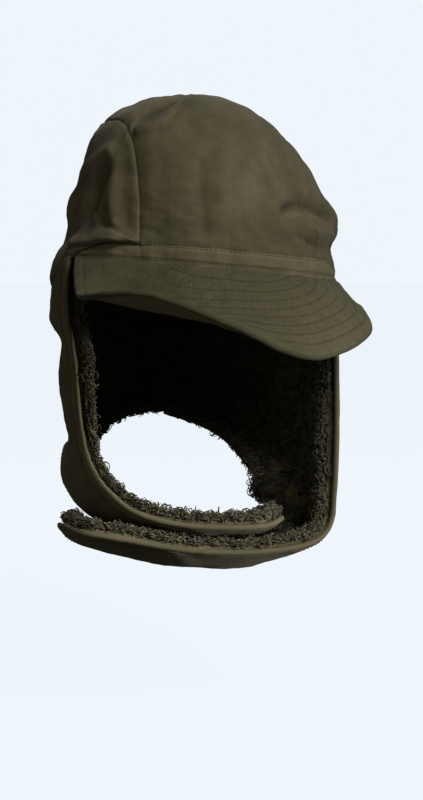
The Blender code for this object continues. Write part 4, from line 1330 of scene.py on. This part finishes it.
def curls(roots, rises, inward, start, reach, radius, thick, rng):
    """Curls of pile: each stands up from its root to its reach and then curls over, on the
    inner side of the shell."""
    count = len(roots)
    sideways = unit(np.cross(rises, unit(rng.normal(size=(count, 3)))))
    third = np.cross(rises, sideways)
    bend = rng.uniform(*CURL_BEND, size=(count, 1)) * math.pi
    twist = rng.uniform(-CURL_TWIST, CURL_TWIST, size=(count, 1))
    lean = rng.uniform(*CURL_LEAN, size=(count, 1))
    shares = np.linspace(0, 1, LOCK_SEGMENTS + 1)
    rings = []
    for share in shares:
        angle = max(0.0, (share - CURL_STAND) / (1 - CURL_STAND)) * bend
        up = start + (reach - start) * min(1.0, share / CURL_STAND) + radius * np.sin(angle)
        aside = radius * (1 - np.cos(angle)) + lean * share
        rings.append(roots + rises * up + sideways * aside + third * twist * angle)
    rings = np.stack(rings, axis=1)
    depth = ((rings - roots[:, None]) * inward[:, None]).sum(axis=-1, keepdims=True)
    rings += inward[:, None] * np.maximum(CURL_COVER - depth, 0.0)
    tangent = unit(np.gradient(rings, axis=1))
    one = unit(np.cross(tangent, third[:, None, :] + 0.3 * rises[:, None, :]))
    two = np.cross(tangent, one)
    taper = (thick * (1.0 - CURL_TAPER * shares[None, :] ** CURL_TAPER_POWER))[..., None]
    angles = [2 * math.pi * k / LOCK_SIDES for k in range(LOCK_SIDES)]
    corners = np.stack([rings + (one * math.cos(angle) + two * math.sin(angle)) * taper
                        for angle in angles], axis=2)
    return corners.reshape(-1, 3), tube_faces(count, LOCK_SEGMENTS + 1, LOCK_SIDES)


def nearest_distances(places, line):
    """Distance of each place from the nearest point of a line."""
    gaps = np.empty(len(places))
    for first in range(0, len(places), 500):
        chunk = places[first:first + 500]
        gaps[first:first + 500] = np.linalg.norm(chunk[:, None] - line[None], axis=-1).min(axis=1)
    return gaps


def build_lining(flap, base, deep):
    """The pile's backing and its lumpy face, paler on the tab as painted light."""
    nodes = ["pile_lining_" + flap.side]
    lumps = LINING_DEPTH + LINING_LUMPS * ripple(base, PILE_WAVES)
    top = base - flap.normals * (deep * lumps)[:, None]
    count, loop = len(base), flap.edge()
    rim = np.stack([loop[:-1], loop[1:], loop[1:] + count, loop[:-1] + count], axis=1)
    faces = np.concatenate([flap.faces[:, ::-1] + count, flap.faces, rim])
    lining = cloth_piece("pile_" + flap.side, np.concatenate([base, top]), faces, 0, PILE,
                         nodes)
    # Painted light: the tab's faces take the paler, lit copy of the pile.
    second_finish(lining, LIT_PILE_COPY, faces.min(axis=1) % count >= flap.body.size)


def build_body_curls(flap, base, deep, gaps, rng):
    """Curls all over the lining, closer near the free edge, where they are in sight."""
    faces = flap.faces
    areas = np.linalg.norm(face_crosses(flap.places, faces), axis=-1) / 2
    fade = clamp01((gaps[faces[:, 0]] - SIGHT_REACH) / SIGHT_FADE)
    in_sight = mix(CURL_SHARE_IN_SIGHT, CURL_SHARE_HIDDEN, fade)
    weights = areas * in_sight * (faces.min(axis=1) >= flap.body[BARE_ROWS, 0])
    corner = faces[rng.choice(len(faces), size=LOCK_COUNT, p=weights / weights.sum())]
    u, v = rng.uniform(size=(2, LOCK_COUNT, 1))

    def at_corner(values):
        first = values[corner[:, 0]] * (1 - u) + values[corner[:, 1]] * u
        second = values[corner[:, 3]] * (1 - u) + values[corner[:, 2]] * u
        return first * (1 - v) + second * v

    depth = at_corner(deep[:, None])
    inward = at_corner(-flap.normals)
    size = (LOCK_COUNT, 1)
    rises = unit(inward + CURL_SCATTER * rng.normal(size=(LOCK_COUNT, 3)))
    places, faces = curls(at_corner(base), rises, inward, depth * CURL_ROOT,
                          depth * rng.uniform(*CURL_REACH, size), rng.uniform(*CURL_RADIUS, size),
                          rng.uniform(*CURL_THICKNESS, size), rng)
    cloth_piece("pile_curls_" + flap.side, places, faces, 0, PILE,
                ["pile_lining_" + flap.side])


def build_edge_curls(flap, depth, rng):
    """Curls round the free edge: short at the front, longer over the neck and the tab's back."""
    line, ups, out = flap.edge_frame()
    out = unit(out)
    at = rng.uniform(EDGE_CURL_SPARE, len(line) - EDGE_CURL_SPARE - 1, EDGE_LOCK_COUNT)
    low, share = at.astype(int), (at % 1.0)[:, None]

    def along(values):
        return values[low] * (1 - share) + values[low + 1] * share

    outward, deep = along(ups), along(depth[flap.edge()][:, None])
    front = len(flap.body) + len(flap.tab)
    free = clamp01((at - front + 6) / 10)[:, None]
    size = (EDGE_LOCK_COUNT, 1)
    level = rng.uniform(*EDGE_CURL_LEVELS, size) ** mix(0.7, 1.0, free)
    roots = along(line) - outward * (FLAP_WALL + LAYER_GAP + deep * EDGE_CURL_LEVEL * level)
    slope = unit(along(out) - outward * (0.25 + 1.1 * level ** 2)
                 + EDGE_CURL_SCATTER * rng.normal(size=(EDGE_LOCK_COUNT, 3)))
    part = (slope * outward).sum(axis=1, keepdims=True)
    slope = unit(slope - outward * np.maximum(part + 0.2, 0.0))
    reach = EDGE_CURL_ROOT + mix(*EDGE_CURL_REACH, free) * rng.uniform(0.2, 1.2, size)
    places, faces = curls(roots - slope * EDGE_CURL_ROOT, slope, -outward, 0.0, reach,
                          rng.uniform(*EDGE_CURL_RADIUS, size),
                          rng.uniform(*EDGE_CURL_THICKNESS, size), rng)
    # Painted light: the curls round the free edge take the paler, lit copy of the pile.
    edging = cloth_piece("pile_edge_" + flap.side, places, faces, 0, LIT_PILE_COPY,
                         ["pile_lining_" + flap.side])
    # Painted shade: along the left flap's body these curls take the darker pile instead.
    shaded = (at < len(flap.body) * 0.9) & (flap.side == "left")
    second_finish(edging, PILE, shaded[faces[:, 0] // ((LOCK_SEGMENTS + 1) * LOCK_SIDES)])


def build_pile(flap):
    rows, columns = flap.body.shape
    pressed = clamp01((np.arange(rows) - rows * PRESSED_START) / (rows * PRESSED_ROWS))
    on_tab = np.concatenate([np.repeat(pressed, columns), np.ones(flap.tab.size)])
    depth = mix(PILE_DEPTH, TAB_PILE_DEPTH, on_tab)
    gaps = nearest_distances(flap.places, flap.edge_frame()[0][::2])
    rounding = mix(EDGE_ROUNDING[flap.side], 1.0, clamp01(gaps / ROUNDING_REACH) ** 0.6)
    base = flap.places - flap.normals * (FLAP_WALL + LAYER_GAP)
    rng = np.random.default_rng(61 if flap.side == "right" else 62)
    build_lining(flap, base, depth * rounding)
    build_body_curls(flap, base, depth * rounding, gaps, rng)
    build_edge_curls(flap, depth, rng)


def dress_closure():
    """The hidden closure keeps its CAD form."""
    for thing in bpy.data.objects:
        if thing.name.startswith("chin_closure"):
            thing.data.materials.clear()
            thing.data.materials.append(HEM_CLOTH)


# Studio

def lay_floor():
    r = FLOOR_REACH
    corners = np.array([[-r, -r, -FLOOR_DEPTH], [r, -r, -FLOOR_DEPTH], [r, r, -FLOOR_DEPTH],
                        [-r, r, -FLOOR_DEPTH]])
    mesh = make_mesh("floor", corners, np.array([[0, 1, 2, 3]]))
    floor = bpy.data.objects.new("floor", mesh)
    finish, _, shader = node_material("pale_floor")
    set_inputs(shader, Base_Color=(0.05, 0.05, 0.05, 1), Roughness=1.0, Specular_IOR_Level=0.0,
               Emission_Color=(*PALE, 1), Emission_Strength=FLOOR_GLOW)
    mesh.materials.append(finish)
    bpy.context.scene.collection.objects.link(floor)
    floor.visible_diffuse = False
    floor.visible_glossy = False
    floor.visible_shadow = False


def light_room(scene):
    """A pale world to the camera, and a faint warm one to the cap."""
    world = bpy.data.worlds.new("studio")
    world.use_nodes = True
    tree = world.node_tree
    seen = tree.nodes["Background"]
    set_inputs(seen, Color=(*PALE, 1))
    glow = add_node(tree, "ShaderNodeBackground", Color=(*ROOM_COLOUR, 1), Strength=ROOM_GLOW)
    path = tree.nodes.new("ShaderNodeLightPath")
    either = add_node(tree, "ShaderNodeMixShader", {"Fac": path.outputs["Is Camera Ray"]})
    tree.links.new(glow.outputs["Background"], either.inputs[1])
    tree.links.new(seen.outputs["Background"], either.inputs[2])
    tree.links.new(either.outputs["Shader"], tree.nodes["World Output"].inputs["Surface"])
    scene.world = world
    scene.view_settings.view_transform = "Standard"
    scene.view_settings.look = "None"


def place_aimed(name, data, place, aim):
    thing = bpy.data.objects.new(name, data)
    thing.location = place
    thing.rotation_euler = (Vector(aim) - Vector(place)).to_track_quat("-Z", "Y").to_euler()
    bpy.context.scene.collection.objects.link(thing)
    return thing


def place_lights():
    for row in AREA_LIGHTS:
        light = bpy.data.lights.new(row.name, "AREA")
        light.shape = "DISK"
        light.size = row.size
        light.energy = row.power
        light.color = row.colour
        place_aimed(row.name, light, row.place, LIGHT_AIM)
    low = bpy.data.lights.new("low", "SPOT")
    low.energy = LOW_POWER
    low.color = LOW_COLOUR
    low.spot_size = LOW_SPREAD
    low.spot_blend = LOW_BLEND
    low.shadow_soft_size = LOW_SIZE
    place_aimed("low", low, LOW_PLACE, LOW_AIM)


def place_camera(scene):
    """The photo's own view: its scale holds at the middle of the cap."""
    band = Vector((0, 0, -SEAT_BELOW_BAND_ORIGIN))
    back = Vector((math.sin(CAMERA_TURN), -math.cos(CAMERA_TURN), 0))
    right = Vector((math.cos(CAMERA_TURN), math.sin(CAMERA_TURN), 0))
    aim = band + (right * BAND_PIXELS_ASIDE - Vector((0, 0, BAND_PIXELS_DOWN))) * PIXEL
    data = bpy.data.cameras.new("camera")
    data.sensor_fit = "VERTICAL"
    data.sensor_height = SENSOR_HEIGHT
    data.lens = SENSOR_HEIGHT * CAMERA_DISTANCE / PIXEL / PHOTO_PIXELS_HIGH
    scene.camera = place_aimed("camera", data, band + back * CAMERA_DISTANCE, aim)


build_crown()
build_band_stitches()
build_visor()
flaps = [Flap(side) for side in SIDE_SIGN]
for flap in flaps:
    build_flap(flap)
for flap in flaps:
    build_pile(flap)
stitches("hem_stitches", [hem_row(flap) for flap in flaps], THREAD)
dress_closure()
lay_floor()
light_room(bpy.context.scene)
place_lights()
place_camera(bpy.context.scene)
